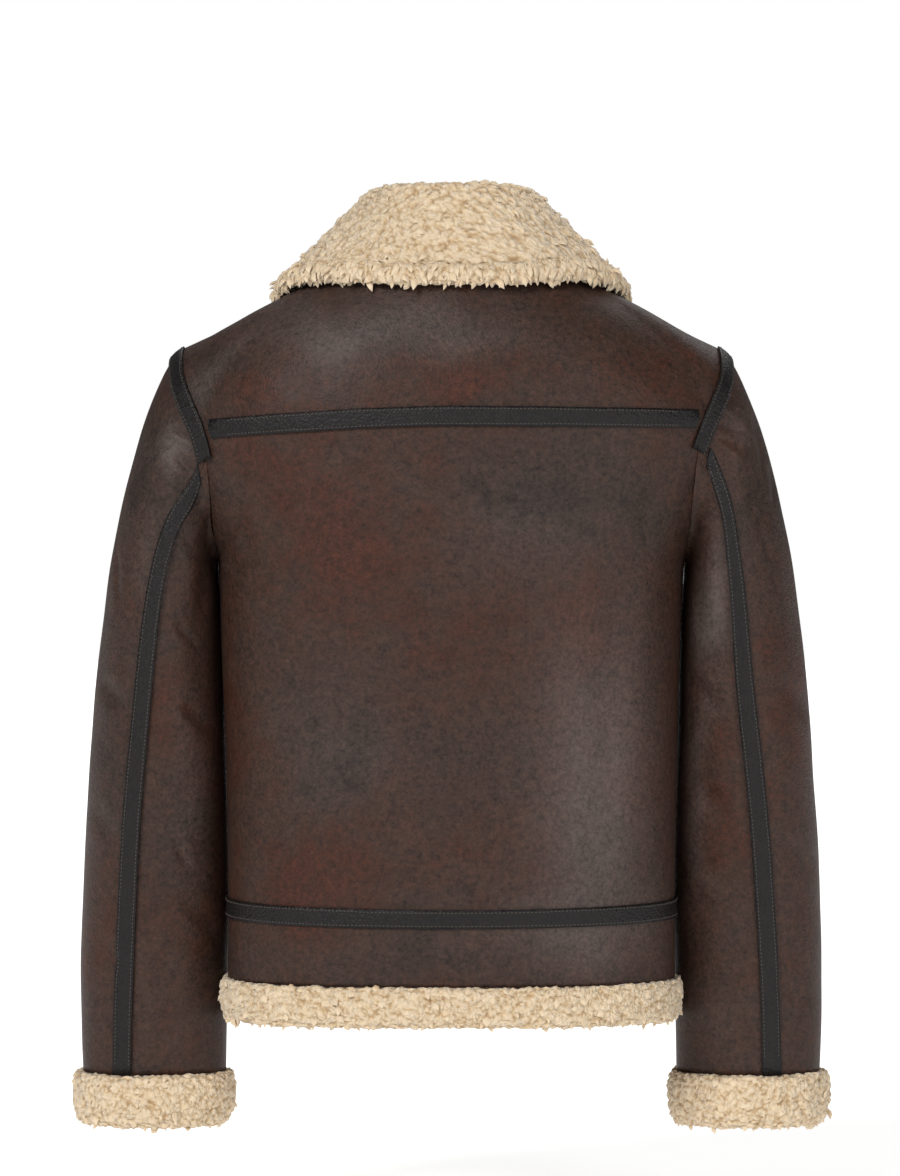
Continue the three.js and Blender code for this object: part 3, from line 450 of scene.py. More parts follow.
UNEVENNESS = 0.7 * MM       # the soft waves over a whole skin
UNEVEN_SIZE = 0.055
TOUCH = 0.7 * MM            # how far body and sleeve swell where they lie side by side
BODY_TOUCH = (0.93, 0.99)
SLEEVE_TOUCH = (0.78, 0.94)
ZIP_EDGE = 9 * MM           # the fronts lie straight this far from the middle, then ease into folds
ZIP_EASE = 22 * MM
CLEARLY_INWARD = -0.45


def folds_at(place, away, part):
    """The folds that pass near a place: how far across them it is in their own widths, how much
    of them is left there, and their width and trough in millimetres."""
    for seen, start, end, width, trough in FOLDS[part]:
        facing = -away.y if seen == "behind" else away.y
        if facing <= 0:
            continue
        x0, z0 = start[0] * MM, start[1] * MM
        run_x, run_z = end[0] * MM - x0, end[1] * MM - z0
        length = math.hypot(run_x, run_z)
        off_x, off_z = place.x - x0, place.z - z0
        along = (off_x * run_x + off_z * run_z) / length
        if not -FOLD_RUN_OUT * length < along < (1 + FOLD_RUN_OUT) * length:
            continue
        wave = Vector((along * SWING_RATE, x0 * 2 * SWING_RATE, z0 * 2 * SWING_RATE))
        across = ((off_x * run_z - off_z * run_x) / length + FOLD_SWING * noise.noise(wave)) / (width * MM)
        if abs(across) > FOLD_REACH:
            continue
        share = (along / length - 0.5) / FOLD_FULL
        yield across, math.exp(-share ** 4 * 2.2) * min(1.0, facing * 1.6), width, trough


def fold_depth(place, away, part):
    """How far a skin gives at a place, down into its folds or up on to them."""
    depth = 0.0
    for across, left, _, trough in folds_at(place, away, part):
        profile = math.exp(-across * across) - 0.4 * math.exp(-(across / 2.1) ** 2)
        depth += trough * MM * FOLD_STRENGTH * profile * left
    return depth


def made_finer(mesh, part):
    """Divides the outer faces of a mesh again along the narrow folds."""
    heart = hearts[part]
    fine = bmesh.new()
    fine.from_mesh(mesh)
    near = set()
    for vert in fine.verts:
        away = (vert.co - heart(vert.co)).normalized()
        if vert.normal.dot(away) > 0 and any(
                width <= NARROW_FOLD and abs(across) < NARROW_REACH
                for across, _, width, _ in folds_at(vert.co, away, part)):
            near.add(vert)
    edges = [e for e in fine.edges if e.verts[0] in near and e.verts[1] in near]
    bmesh.ops.subdivide_edges(fine, edges=edges, cuts=1, use_grid_fill=True)
    fine.to_mesh(mesh)
    fine.free()


def touch(place, away, part):
    """1 where body and sleeve lie side against side, and 0 elsewhere."""
    outward = math.copysign(away.x, away.x * place.x)
    toward, (start, full) = (outward, BODY_TOUCH) if part == "body" else (-outward, SLEEVE_TOUCH)
    share = min(1.0, max(0.0, (toward - start) / (full - start)))
    return share * share * (3 - 2 * share)


# Patches that show through the dark brown of the back and the sleeves: x, z and half sizes in
# millimetres, and how red, above 0, or how dark, below 0
PATCHES = [
    (22, -62, 52, 26, 0.62), (-150, -92, 40, 24, 0.42), (150, -70, 44, 30, 0.40),
    (-60, -30, 70, 22, -0.34), (-196, -78, 20, 30, -0.25),
    (-86, -215, 56, 80, 0.58), (-150, -160, 36, 34, 0.20), (52, -178, 52, 42, -0.50),
    (118, -286, 34, 66, 0.62), (150, -178, 40, 32, -0.30), (20, -290, 44, 50, 0.16),
    (-92, -388, 56, 42, -0.46), (-184, -340, 18, 90, 0.38), (-110, -496, 60, 52, 0.60),
    (154, -412, 44, 36, 0.42), (40, -470, 40, 60, 0.18), (30, -390, 60, 50, -0.18),
    (96, -520, 60, 40, -0.12), (-20, -560, 90, 22, -0.28), (140, -560, 50, 24, 0.12),
    (-258, -150, 30, 50, -0.34), (-236, -352, 26, 70, 0.40), (-300, -560, 22, 90, 0.34),
    (-296, -420, 26, 70, -0.25), (-232, -560, 24, 60, 0.10),
    (296, -360, 24, 80, 0.50), (262, -180, 26, 50, -0.28), (232, -470, 28, 60, 0.34),
    (236, -600, 26, 50, -0.20), (304, -540, 20, 60, 0.20),
]
PATCH_WARP = 26 * MM
PATCH_RATE = 14
FRAY_RATE = 45
BARE_TONE = 0.34            # how red the leather is where it has no patch

# Where a soft grey sheen is painted into the leather's colour, a painted highlight: x, z and half sizes in
# millimetres, and how much of it
PAINTED_SHEENS = [
    (-104, -26, 74, 30, 0.42), (10, -30, 60, 16, 0.25), (120, -420, 44, 130, 0.60),
    (52, -200, 50, 40, 0.16), (-92, -388, 60, 46, 0.16), (96, -545, 80, 30, 0.28),
    (226, -276, 13, 46, 0.80), (212, -420, 12, 90, 0.45), (-238, -130, 16, 22, 0.55),
    (-262, -230, 14, 60, 0.22), (-226, -420, 16, 60, 0.25), (250, -110, 14, 16, 0.35),
]


def share_behind(away):
    """1 on the back of the jacket and 0 on its front, with a soft change at the sides."""
    return min(1.0, max(0.0, 0.5 - 2.5 * away.y))


def spots(x, z, table):
    """The sum of the soft spots of a table at a place in millimetres."""
    return sum(much * math.exp(-((x - middle_x) / half_x) ** 2 - ((z - middle_z) / half_z) ** 2)
               for middle_x, middle_z, half_x, half_z, much in table)


def patina(place, away):
    """How far the leather is rubbed to red-brown at a place."""
    drift = noise.noise_vector(place * PATCH_RATE) * PATCH_WARP
    drift += noise.noise_vector(place * FRAY_RATE) * (PATCH_WARP / 3)
    behind = share_behind(away)
    tone = 0.0
    if behind > 0:
        tone = spots((place.x + drift.x) / MM, (place.z + drift.z) / MM, PATCHES)
    wander = 0.75 * noise.fractal(place * 11 + Vector((3, 7, 1)), 1.0, 2.0, 3)
    return BARE_TONE + behind * tone + (1 - 0.75 * behind) * wander


def painted_sheen(place, away):
    """How much grey sheen is painted into the leather's colour at a place, a painted highlight."""
    drift = noise.noise_vector(place * 20 + Vector((5, 1, 9))) * PATCH_WARP
    x, z = (place.x + drift.x * 0.4) / MM, (place.z + drift.z) / MM
    return share_behind(away) * spots(x, z, PAINTED_SHEENS)


# Shared ways of making a piece

def levels(count):
    return count


def wall_of(node):
    """A node's loose triangles as one wall of four-sided faces, creased along its cut edges."""
    wall = bmesh.new()
    wall.from_mesh(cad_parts[node].data)
    bmesh.ops.remove_doubles(wall, verts=wall.verts, dist=MERGE)
    bmesh.ops.join_triangles(wall, faces=wall.faces, angle_face_threshold=FLAT_ENOUGH,
                             angle_shape_threshold=SQUARE_ENOUGH)
    crease = wall.edges.layers.float.new("crease_edge")
    for edge in wall.edges:
        if edge.is_manifold and edge.calc_face_angle() > CUT_EDGE_ANGLE:
            edge[crease] = 1.0
    return wall


def show(name, shape, *materials):
    """A new object from a bmesh or a mesh, smoothly shaded but for its cut edges."""
    mesh = shape
    if isinstance(shape, bmesh.types.BMesh):
        mesh = bpy.data.meshes.new(name)
        shape.to_mesh(mesh)
        shape.free()
    for material in materials:
        mesh.materials.append(material)
    mesh.shade_smooth()
    mesh.set_sharp_from_angle(angle=CUT_EDGE_ANGLE)
    piece = bpy.data.objects.new(name, mesh)
    bpy.context.scene.collection.objects.link(piece)
    return piece


def rounded(name, wall, count):
    """The wall with its faces divided into a smooth surface."""
    draft = show(f"{name}_draft", wall)
    subdivision = draft.modifiers.new("subdivision", "SUBSURF")
    subdivision.levels = levels(count)
    subdivision.render_levels = levels(count)
    graph = bpy.context.evaluated_depsgraph_get()
    mesh = bpy.data.meshes.new_from_object(draft.evaluated_get(graph))
    mesh.name = name
    bpy.data.objects.remove(draft)
    return mesh


def paint(mesh, name, values):
    layer = mesh.attributes.new(name, "FLOAT", "POINT")
    layer.data.foreach_set("value", np.asarray(values, dtype=np.float32))


def settle(piece, body, slot, *nodes):
    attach(piece, body)
    if nodes:
        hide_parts(*nodes)
    return piece


skins = {}      # every wall of the jacket by its node, for the wool and the tapes to keep clear of


def skin(node, part, count, outside, inside, slot):
    """A panel or a tape on its solid's form, pressed into the folds of its part."""
    heart = hearts[part]
    mesh = rounded(node, wall_of(node), count)
    made_finer(mesh, part)
    tones = []
    painted_sheens = []
    for point in mesh.vertices:
        away = (point.co - heart(point.co)).normalized()
        tones.append(patina(point.co, away))
        painted_sheens.append(painted_sheen(point.co, away))
        give = fold_depth(point.co, away, part)
        give += UNEVENNESS * noise.noise(point.co / UNEVEN_SIZE)
        if part == "body" and point.co.y > 0:
            give *= min(1.0, max(0.0, (abs(point.co.x) - ZIP_EDGE) / ZIP_EASE))
        beside = touch(point.co, away, part)
        point.co -= away * (give * (1 - beside) - TOUCH * beside)
    paint(mesh, "patina", tones)
    # The painted sheen: a highlight painted into the leather's colour
    paint(mesh, "painted_sheen", painted_sheens)
    piece = show(f"{node}_skin", mesh, outside, inside)
    for face in mesh.polygons:
        if face.normal.dot((face.center - heart(face.center)).normalized()) < CLEARLY_INWARD:
            face.material_index = 1
    skins[node] = mesh
    return settle(piece, "jacket", slot, node)


def tree_of(meshes):
    """Some meshes as one tree for rays."""
    points = []
    faces = []
    for mesh in meshes:
        start = len(points)
        points += [v.co.copy() for v in mesh.vertices]
        faces += [[start + i for i in face.vertices] for face in mesh.polygons]
    return BVHTree.FromPolygons(points, faces)


def strew(name, seeds, placements, material, slot):
    """Copies of small shapes, each at its own place, in one mesh."""
    heap = bmesh.new()
    tips = []
    shades = []
    for kind, matrix, shade in placements:
        seed = seeds[kind]
        copy = seed["mesh"].copy()
        copy.transform(matrix)
        heap.from_mesh(copy)
        bpy.data.meshes.remove(copy)
        tips.append(seed["tips"])
        shades.append(np.full(len(seed["tips"]), shade))
    piece = show(name, heap, material)
    paint(piece.data, "tip", np.concatenate(tips))
    paint(piece.data, "shade", np.concatenate(shades))
    return settle(piece, "jacket", slot)


# Leather panels: the part whose folds they take, with width, length and area of the flat cut
PANELS = {
    "back_yoke": ("body", 0.50, 0.22, 0.0790),
    "back_panel": ("body", 0.50, 0.46, 0.2160),
    "back_waistband": ("body", 0.50, 0.063, 0.0309),
}
for side in SIDES:
    PANELS[f"front_{side}"] = ("body", 0.26, 0.60, 0.1274)
    PANELS[f"front_waistband_{side}"] = ("body", 0.222, 0.063, 0.0136)
    PANELS[f"sleeve_outer_{side}"] = (side, 0.25, 0.63, 0.1260)
    PANELS[f"sleeve_under_{side}"] = (side, 0.19, 0.56, 0.0870)


def add_panels():
    for node, (part, width, length, area) in PANELS.items():
        piece = skin(node, part, 3, LEATHER, LINING_WOOL, "brown_leather")


# What orders the middle row of a tape, from one end to the other

ARMHOLE_MIDDLE_Y = 0.004
ARMHOLE_MIDDLE_Z = -0.135


def by_turn(place):
    return math.atan2(place.x, -place.y)


def by_front_turn(place):
    return math.atan2(place.x, place.y)


def by_armhole(place):
    return math.atan2(place.y - ARMHOLE_MIDDLE_Y, place.z - ARMHOLE_MIDDLE_Z)


def by_height(place):
    return place.z


# Tapes: the part whose folds they take, the panels under them, the length of the cut, and what
# orders their middle row
TAPES = {
    "yoke_tape": ("body", ("back_yoke", "back_panel"), 0.440, by_turn),
    "waist_tape_back": ("body", ("back_panel", "back_waistband"), 0.500, by_turn),
}
for side in SIDES:
    fronts = (f"front_{side}", f"front_waistband_{side}")
    sleeves = (f"sleeve_outer_{side}", f"sleeve_under_{side}")
    TAPES[f"waist_tape_{side}"] = ("body", fronts, 0.222, by_front_turn)
    TAPES[f"armhole_tape_{side}"] = ("body", ("back_yoke", f"front_{side}"), 0.270, by_armhole)
    TAPES[f"sleeve_tape_{side}"] = (side, sleeves, 0.510, by_height)

STITCH_PITCH = 3.4 * MM
STITCH_LENGTH = 2.0 * MM
STITCH_THICKNESS = 0.7 * MM
STITCH_INSET = 2.0 * MM
EDGE_STEP = 0.4 * MM
TAPE_THICKNESS = 1.1 * MM
END_REACH = 30 * MM
CURVE_STEPS = 12
ABOVE_TAPE = 4 * MM
THROUGH_TAPE = 7 * MM
OFF_TAPE = 6 * MM
PAST_END = 0.6 * MM


def stitch_seed():
    """One stitch, a short rounded bar that dips into the tape at both ends."""
    bar = bmesh.new()
    bmesh.ops.create_cube(bar, size=1.0)
    bmesh.ops.scale(bar, vec=(STITCH_LENGTH, STITCH_THICKNESS, STITCH_THICKNESS), verts=bar.verts)
    ends = [e for e in bar.edges if abs(e.verts[0].co.x - e.verts[1].co.x) < MERGE]
    top = [e for e in ends if e.verts[0].co.z > 0 and e.verts[1].co.z > 0]
    bmesh.ops.bevel(bar, geom=top, offset=STITCH_THICKNESS * 0.6, segments=1, profile=0.5,
                    affect="EDGES", material=-1)
    mesh = bpy.data.meshes.new("stitch")
    bar.to_mesh(mesh)
    bar.free()
    return {"mesh": mesh, "tips": np.ones(len(mesh.vertices))}


def middle_row(wall, heart, order):
    """The middle of a tape's outer face from end to end, run on past both ends."""
    crease = wall.edges.layers.float["crease_edge"]
    row = []
    for vert in wall.verts:
        inside_wall = all(edge[crease] == 0 for edge in vert.link_edges)
        if inside_wall and vert.normal.dot(vert.co - heart(vert.co)) > 0:
            row.append(vert.co.copy())
    row.sort(key=order)
    first = row[0] + (row[0] - row[1]).normalized() * END_REACH
    last = row[-1] + (row[-1] - row[-2]).normalized() * END_REACH
    return [first, *row, last]


def smooth_line(points, pitch):
    """Places and headings along a curve through the points."""
    line = [points[0] * 2 - points[1], *points, points[-1] * 2 - points[-2]]
    fine = []
    for a, b, c, d in zip(line, line[1:], line[2:], line[3:]):
        for step in range(CURVE_STEPS):
            t = step / CURVE_STEPS
            fine.append(0.5 * (2 * b + (c - a) * t + (2 * a - 5 * b + 4 * c - d) * t * t
                               + (3 * b - a - 3 * c + d) * t * t * t))
    placed = []
    left = 0.0
    for here, there in zip(fine, fine[1:]):
        span = (there - here).length
        while left < span:
            placed.append((here.lerp(there, left / span), (there - here).normalized()))
            left += pitch
        left -= span
    return placed


def reach_of(surface, middle, across, normal):
    """How far a tape goes to one side of its middle."""
    reach = 0.0
    while reach < TAPE_WIDTH:
        start = middle + across * (reach + EDGE_STEP) + normal * ABOVE_TAPE
        hit, up, _, _ = surface.ray_cast(start, -normal, THROUGH_TAPE)
        if hit is None or up.dot(normal) < 0.4:
            break
        reach += EDGE_STEP
    return reach


def stitch_rows(tape, line):
    """A stitch row along both edges of a tape."""
    surface = tree_of([tape.data])
    placements = []
    for place, heading in line:
        middle, normal, _, distance = surface.find_nearest(place)
        if distance > OFF_TAPE or abs((place - middle).dot(heading)) > PAST_END:
            continue
        across = heading.cross(normal).normalized()
        for way in (-across, across):
            reach = reach_of(surface, middle, way, normal) - STITCH_INSET
            if reach < STITCH_INSET:
                continue
            start = middle + way * reach + normal * ABOVE_TAPE
            hit, up, _, _ = surface.ray_cast(start, -normal, THROUGH_TAPE)
            side = up.cross(heading).normalized()
            turn = Matrix((side.cross(up), side, up)).transposed().to_4x4()
            placements.append(("stitch", Matrix.Translation(hit) @ turn, 0.5))
    return placements


def lift(tape, heart, under):
    """Lays a tape's outer face clear of the skins under it."""
    ground = tree_of([skins[name] for name in under])
    for point in tape.data.vertices:
        away = (point.co - heart(point.co)).normalized()
        if point.normal.dot(away) < 0.5:
            continue
        below, normal, _, _ = ground.find_nearest(point.co)
        height = (point.co - below).dot(normal)
        if normal.dot(away) > 0.8 and 0 < TAPE_THICKNESS - height < 2 * TAPE_THICKNESS:
            point.co += normal * (TAPE_THICKNESS - height)
    tape.data.update()


def add_tapes():
    seeds = {"stitch": stitch_seed()}
    for node, (part, under, length, order) in TAPES.items():
        tape = skin(node, part, 2, TAPE, TAPE, "black_tape")
        if part != "body":
            lift(tape, hearts[part], under)
        wall = wall_of(node)
        row = middle_row(wall, hearts[part], order)
        wall.free()
        line = smooth_line(row, STITCH_PITCH)
        stitches = strew(f"{node}_stitches", seeds, stitch_rows(tape, line), THREAD, "black_tape")
        rests = [f"{name}_skin" for name in under]


# Wool

CURL_SIDES = 5
CURL_RINGS = 4


def curl_seed(name, length, root, middle, tip, bend):
    """One curl of wool, which rises out of the skin and bends over towards x."""
    curl = bmesh.new()
    bmesh.ops.create_circle(curl, cap_ends=True, segments=CURL_SIDES, radius=root)
    grown_tip = curl.verts.layers.float.new("tip")
    rim = list(curl.edges)
    place = Vector()
    heading = Vector((0, 0, 1))
    width = root
    for ring_number in range(1, CURL_RINGS + 1):
        grown = bmesh.ops.extrude_edge_only(curl, edges=rim)["geom"]
        ring = [item for item in grown if isinstance(item, bmesh.types.BMVert)]
        rim = [item for item in grown if isinstance(item, bmesh.types.BMEdge)
               and item.verts[0] in ring and item.verts[1] in ring]
        turn = Matrix.Rotation(bend / CURL_RINGS, 3, "Y")
        bmesh.ops.rotate(curl, verts=ring, cent=place, matrix=turn)
        heading = turn @ heading
        step = heading * (length / CURL_RINGS)
        bmesh.ops.translate(curl, verts=ring, vec=step)
        place = place + step
        share = ring_number / CURL_RINGS
        wanted = root + (middle - root) * share * 2
        if share >= 0.5:
            wanted = middle + (tip - middle) * (share * 2 - 1)
        factor = wanted / width
        width = wanted
        bmesh.ops.scale(curl, verts=ring, vec=(factor,) * 3, space=Matrix.Translation(-place))
        # How far up the curl a ring is, which also darkens the curl's root as painted shade
        for vert in ring:
            vert[grown_tip] = share
    bmesh.ops.pointmerge(curl, verts=ring, merge_co=place + heading * tip)
    bmesh.ops.recalc_face_normals(curl, faces=curl.faces)
    mesh = bpy.data.meshes.new(name)
    curl.to_mesh(mesh)
    curl.free()
    tips = np.zeros(len(mesh.vertices), dtype=np.float32)
    mesh.attributes["tip"].data.foreach_get("value", tips)
    mesh.attributes.remove(mesh.attributes["tip"])
    return {"mesh": mesh, "tips": tips}


CURLS = {
    "nub": curl_seed("nub", 5.6 * MM, 2.7 * MM, 3.3 * MM, 2.5 * MM, math.radians(105)),
    "lock": curl_seed("lock", 9.5 * MM, 2.5 * MM, 2.8 * MM, 1.7 * MM, math.radians(112)),
    "wisp": curl_seed("wisp", 8.2 * MM, 2.0 * MM, 1.7 * MM, 0.7 * MM, math.radians(24)),
}

NUB_SIZE = 6.4 * MM
NUB_HEIGHT = 2.6 * MM
NUB_DRIFT = 1.8 * MM
DRIFT_RATE = 95
CREVICE = 0.55              # how far from a crevice a nub is at its full height, in nub sizes
LUMP_SIZE = 11 * MM
LUMP_HEIGHT = 0.9 * MM
COMBED = 1.9                # how much longer than wide the locks on the collar's right are
COMBED_BLEND = 20 * MM
COMBED_SLOPE = 0.16
HANGING = {"collar_edge": 1.8}
HANGING_ELSEWHERE = 1.1
SHADE_SIZE = 9 * MM
CURL_SINK = 2.4 * MM
CLEAR_START = 1.5           # a curl needs room from here on above the pile, in millimetres
CLEAR_REACH = 8 * MM


def pile_place(place, node):
    """Where a place lies in the pattern of nubs, which is drawn out along the wool's lay."""
    x, y, z = place + noise.noise_vector(place * DRIFT_RATE) * NUB_DRIFT
    if node == "collar":
        rest = COMBED_BLEND * math.log1p(math.exp(-x / COMBED_BLEND))
        z += COMBED_SLOPE * (x + rest)
        x = x / COMBED - (1 - 1 / COMBED) * rest
    return Vector((x, y, z / HANGING.get(node, HANGING_ELSEWHERE))) / NUB_SIZE


def nub_height(place):
    """How high the pile stands, from 0 in a crevice to 1 on top of a nub."""
    near, next_near = noise.voronoi(place)[0][:2]
    rise = min(1.0, (next_near - near) / CREVICE)
    return 1 - (1 - rise) ** 2


def wool_base(node, sink):
    """The wool's skin and deep pile in soft lumps, as far out as its solid."""
    mesh = rounded(node, wall_of(node), 3)
    places = [pile_place(v.co, node) for v in mesh.vertices]
    heights = [nub_height(place) for place in places]
    for vert, normal, height in zip(mesh.vertices, [v.normal.copy() for v in mesh.vertices], heights):
        lump = noise.noise(vert.co / LUMP_SIZE) * LUMP_HEIGHT
        vert.co += normal * (lump + height * NUB_HEIGHT - sink)
    mesh.update()
    # The height is painted too, and darkens the crevices between the nubs as painted shade
    paint(mesh, "tip", heights)
    pattern = mesh.attributes.new("pile", "FLOAT_VECTOR", "POINT")
    pattern.data.foreach_set("vector", np.array(places, dtype=np.float32).ravel())
    paint(mesh, "shade", [0.5 + noise.noise(v.co / SHADE_SIZE) for v in mesh.vertices])
    skins[node] = mesh
    return settle(show(f"{node}_pile", mesh, PILE), "jacket", "cream_fleece", node)


def scattered(mesh, spacing, rng):
    """Places all over a mesh, none closer than the spacing, with their normals."""
    areas = np.array([face.area for face in mesh.polygons])
    sums = np.cumsum(areas)
    tries = int(sums[-1] / spacing ** 2 * 3.2)
    taken = {}
    found = []
    for _ in range(tries):
        face = mesh.polygons[int(np.searchsorted(sums, rng.random() * sums[-1]))]
        corners = [mesh.vertices[i].co for i in face.vertices]
        a, b = rng.random(), rng.random()
        low = corners[0].lerp(corners[1], a)
        high = corners[-1].lerp(corners[-2], a)
        place = low.lerp(high, b)
        cell = tuple(int(math.floor(value / spacing)) for value in place)
        near = (taken.get((cell[0] + i, cell[1] + j, cell[2] + k), ()) for i in (-1, 0, 1)
                for j in (-1, 0, 1) for k in (-1, 0, 1))
        if any((place - other).length < spacing for group in near for other in group):
            continue
        taken.setdefault(cell, []).append(place)
        found.append((place, face.normal.copy()))
    return found


def grow_curls(piece, name, spacing, lay, clear, seed):
    """Curls over a pile wherever there is room for them. Lay gives a curl's kind, the way it lies,
    its size and how far its lie wanders at a place."""
    rng = random.Random(seed)
    placements = []
    for place, normal in scattered(piece.data, spacing, rng):
        kind, way, size, wander = lay(place, normal, rng)
        hit, _, _, _ = clear.ray_cast(place + normal * CLEAR_START * MM, normal, CLEAR_REACH)
        if hit is not None or kind is None:
            continue
        along = way - normal * way.dot(normal)
        if along.length < 0.01:
            along = normal.orthogonal()
        along.normalize()
        turn = Matrix((along, normal.cross(along), normal)).transposed().to_4x4()
        yaw = Matrix.Rotation(rng.gauss(0, wander), 4, "Z")
        tilt = Matrix.Rotation(rng.gauss(0.15, 0.15), 4, "Y")
        grow = Matrix.Diagonal((size, size * rng.uniform(0.95, 1.2), size * rng.uniform(0.6, 0.8), 1))
        root = Matrix.Translation(place - normal * CURL_SINK)
        placements.append((kind, root @ turn @ yaw @ tilt @ grow, rng.random()))
    return strew(name, CURLS, placements, WOOL, "cream_fleece")


def lay_on_collar(place, normal, rng):
    """Nubs on the left of the collar's rims, locks that lie to the right over the rest, and none
    on the fall behind, whose curls are in its pile."""
    right = 1 / (1 + math.exp(-place.x / COMBED_BLEND))
    if normal.y < -0.45 and normal.z < 0.6:
        return None, normal, 1.0, 0.0
    kind = "lock" if rng.random() < 0.15 + 0.7 * right else "nub"
    way = Vector((-0.4, 0, -0.8)).lerp(Vector((1.0, 0.0, -0.35)), right)
    return kind, way, rng.uniform(0.8, 1.1), 1.2 - 0.9 * right


def lay_downwards(place, normal, rng):
    """Curls that hang down, with wisps along the lower rim."""
    kind = rng.choice(("nub", "lock", "nub", "nub"))
    if normal.z < -0.35:
        kind = "wisp"
    elif normal.z > 0.35:
        kind = "nub"
    return kind, Vector((rng.gauss(0, 0.4), rng.gauss(0, 0.4), -1)), rng.uniform(0.75, 1.05), 0.6


def lay_on_edge(place, normal, rng):
    """Locks and wisps that hang from the collar's rolled edge, a little outwards."""
    out = Vector((place.x, place.y - 9 * MM, 0)).normalized()
    kind = "lock" if normal.z > -0.35 else "wisp"
    return kind, out * 0.2 + Vector((rng.gauss(0, 0.25), 0, -1)), rng.uniform(0.8, 1.1), 0.35


CUFF_SEAMS = (-304 * MM, -289 * MM, 283 * MM, 297 * MM)
SEAM_PARTING = 1.5 * MM
SEAM_THINNING = 4 * MM


def lay_on_cuff(place, normal, rng):
    """Hanging curls that part along the cuff's seams."""
    beside = min(abs(place.x - seam) for seam in CUFF_SEAMS)
    if normal.y < -0.3 and beside < SEAM_PARTING:
        return None, Vector((0, 0, -1)), 1.0, 0.0
    kind, way, size, wander = lay_downwards(place, normal, rng)
    return kind, way, size * (0.8 if beside < SEAM_THINNING else 1.0), wander


# Wool pieces: how far the pile is drawn in, how the curls lie, how close they stand, and the
# width, length and area of the cut that shows, with no area where it is a plain strip
WOOLS = {
    "collar": (0.9, lay_on_collar, 7.5, 0.50, 0.19, 0.0800),
    "collar_edge": (1.1, lay_on_edge, 4.4, 0.62, 0.027, None),
    "hem_wool_back": (1.6, lay_downwards, 7.0, 0.50, 0.043, None),
}
for side in SIDES:
    WOOLS[f"hem_wool_{side}"] = (1.6, lay_downwards, 7.0, 0.225, 0.043, None)
    WOOLS[f"cuff_{side}"] = (1.6, lay_on_cuff, 7.0, 0.44, 0.048, None)


def add_wool():
    piles = {}
    for node, (sink, _, _, _, _, _) in WOOLS.items():
        piles[node] = wool_base(node, sink * MM)
    clear = tree_of(skins.values())
    for number, (node, (_, lay, spacing, width, length, area)) in enumerate(WOOLS.items()):
        close = spacing * 1.0 * MM
        curls = grow_curls(piles[node], f"{node}_curls", close, lay, clear, 100 + number)


# The zip

TOOTH_PITCH = 3.0 * MM
TOOTH_SIZE = (3.6 * MM, 1.5 * MM, 2.4 * MM)
TOOTH_ROUNDING = 0.3 * MM
TOOTH_SHIFT = 1.2 * MM      # how far the two rows stand to the sides
TOOTH_SINK = 1.6 * MM
SPINE_STEP = 12 * MM
SPINE_SLICE = 4 * MM
BED_DEPTH = 1.5 * MM


def tooth_seed():
    """One tooth, a small block with its edges rounded off."""
    block = bmesh.new()
    bmesh.ops.create_cube(block, size=1.0)
    width, tall, thick = TOOTH_SIZE
    bmesh.ops.scale(block, vec=(width, tall, thick), verts=block.verts)
    bmesh.ops.bevel(block, geom=block.edges[:], offset=TOOTH_ROUNDING, segments=1, profile=0.5,
                    affect="EDGES", material=-1)
    mesh = bpy.data.meshes.new("tooth")
    block.to_mesh(mesh)
    block.free()
    return {"mesh": mesh, "tips": np.ones(len(mesh.vertices))}


def add_zip_cloth(side):
    name = f"zip_tape_{side}"
    tape = show(f"{name}_cloth", rounded(name, wall_of(name), 2), ZIP_CLOTH)
    settle(tape, "jacket", "zip_cloth", name)


def chain_spine():
    """The middle line of the closed teeth from bottom to top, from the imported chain."""
    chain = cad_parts["zip_chain"].data
    rows = sorted({(round(v.co.z, 5), round(v.co.y, 5)) for v in chain.vertices})
    spine = [Vector((0, max(y for z, y in rows if abs(z - level) < SPINE_SLICE), level))
             for level in sorted({z for z, _ in rows})]
    thinned = [spine[0]]
    for point in spine[1:]:
        if point.z - thinned[-1].z > SPINE_STEP:
            thinned.append(point)
    thinned[-1] = spine[-1]
    return thinned


def add_teeth():
    """Teeth from the left and from the right in turn, over a dark bed."""
    sideways = Vector((1, 0, 0))
    placements = []
    for number, (place, heading) in enumerate(smooth_line(chain_spine(), TOOTH_PITCH / 2)):
        out = sideways.cross(heading).normalized()
        turn = Matrix((sideways, heading, -out if out.y < 0 else out)).transposed().to_4x4()
        shift = sideways * (TOOTH_SHIFT if number % 2 else -TOOTH_SHIFT)
        middle = place + shift - Vector((0, TOOTH_SINK, 0))
        placements.append(("tooth", Matrix.Translation(middle) @ turn, 0.5))
    teeth = strew("zip_teeth", {"tooth": tooth_seed()}, placements, BRASS, "zip_metal")
    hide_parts("zip_chain")
    bed = wall_of("zip_chain")
    bmesh.ops.translate(bed, verts=bed.verts, vec=(0, -BED_DEPTH, 0))
    settle(show("zip_bed", bed, ZIP_CLOTH), "jacket", "zip_cloth")


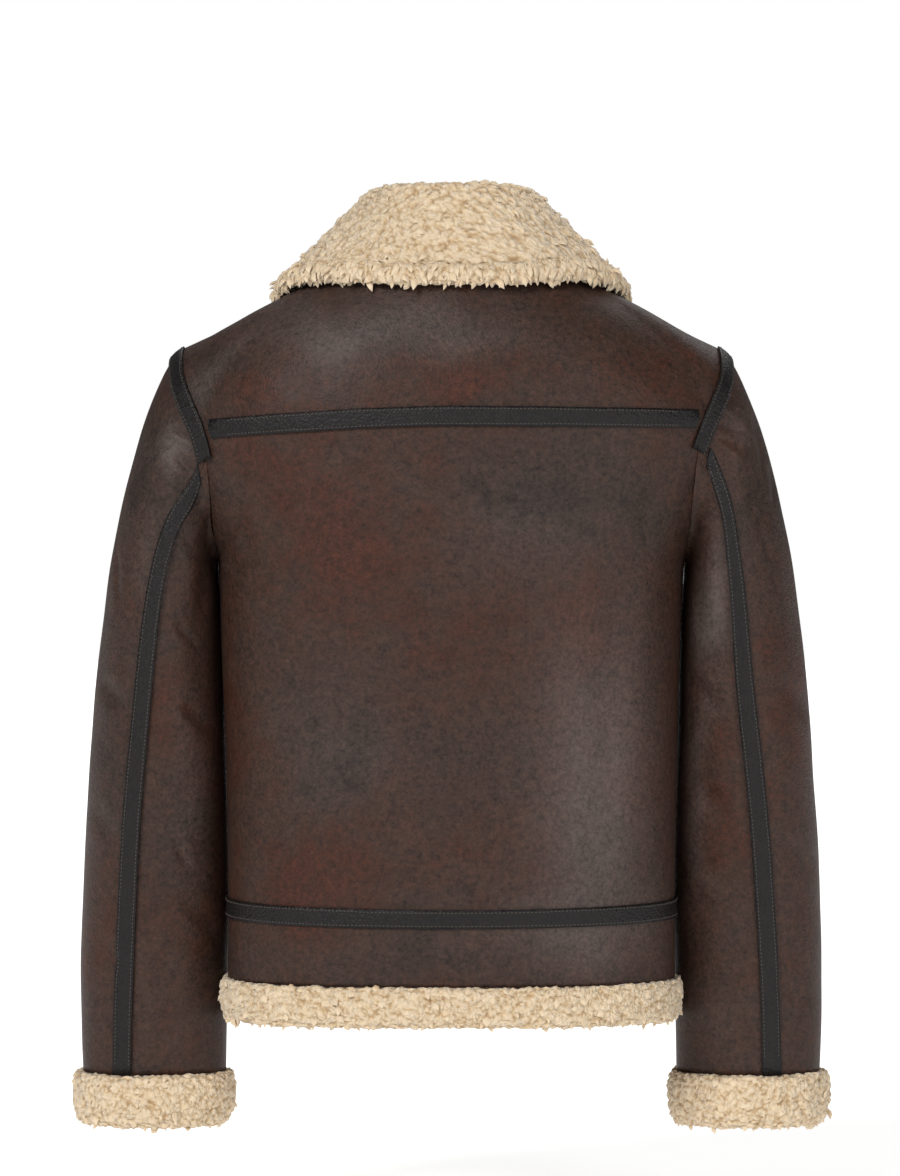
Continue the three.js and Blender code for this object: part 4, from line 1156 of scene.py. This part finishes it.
def add_zip():
    for side in SIDES:
        add_zip_cloth(side)
    add_teeth()
    for node in ("zip_slider", "zip_pull"):
        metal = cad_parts[node]
        metal.data.materials.clear()
        metal.data.materials.append(BRASS)


# The floor and the light

FLOOR_HEIGHT = -0.80
FLOOR_GLOW = 0.62
ROOM_LIGHT = 0.11

# Each light: where it comes from, how strong it is and how wide its disc is in degrees
SUNS = {
    "key": ((-0.60, -1.0, 0.75), 2.4, 26),
    "right": ((0.62, -0.9, 0.25), 1.0, 26),
    "front": ((0.25, 1.0, 1.1), 0.9, 50),
}


def add_stage():
    pale = Finish("pale_floor", Base_Color=(0.93, 0.93, 0.92, 1), Roughness=0.9,
                  Emission_Color=(1, 1, 1, 1), Emission_Strength=FLOOR_GLOW)
    floor = bmesh.new()
    bmesh.ops.create_grid(floor, x_segments=1, y_segments=1, size=30.0)
    bmesh.ops.translate(floor, verts=floor.verts, vec=(0, 0, FLOOR_HEIGHT))
    show("floor", floor, pale.material)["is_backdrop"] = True


def add_sun(name, toward, strength, spread):
    """A soft light from far away, which lights the whole floor evenly."""
    light = bpy.data.lights.new(name, "SUN")
    light.energy = strength
    light.angle = math.radians(spread)
    lamp = bpy.data.objects.new(name, light)
    lamp.rotation_euler = Vector(toward).to_track_quat("Z", "Y").to_euler()
    bpy.context.scene.collection.objects.link(lamp)


def add_lights():
    for name, (toward, strength, spread) in SUNS.items():
        add_sun(name, toward, strength, spread)
    world = bpy.data.worlds.new("white_room")
    bpy.context.scene.world = world
    world.use_nodes = True
    tree = world.node_tree
    background = tree.nodes["Background"]
    background.inputs["Color"].default_value = (1, 1, 1, 1)
    seen = tree.nodes.new("ShaderNodeLightPath")
    strength = tree.nodes.new("ShaderNodeMapRange")
    strength.inputs["To Min"].default_value = ROOM_LIGHT
    strength.inputs["To Max"].default_value = 1.0
    tree.links.new(seen.outputs["Is Camera Ray"], strength.inputs["Value"])
    tree.links.new(strength.outputs["Result"], background.inputs["Strength"])
    bpy.context.scene.view_settings.view_transform = "Standard"


add_panels()
add_tapes()
add_wool()
add_zip()
add_stage()
add_lights()

corners = [[list(map(float, corner)) for corner in box] for box in (cad_box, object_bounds())]
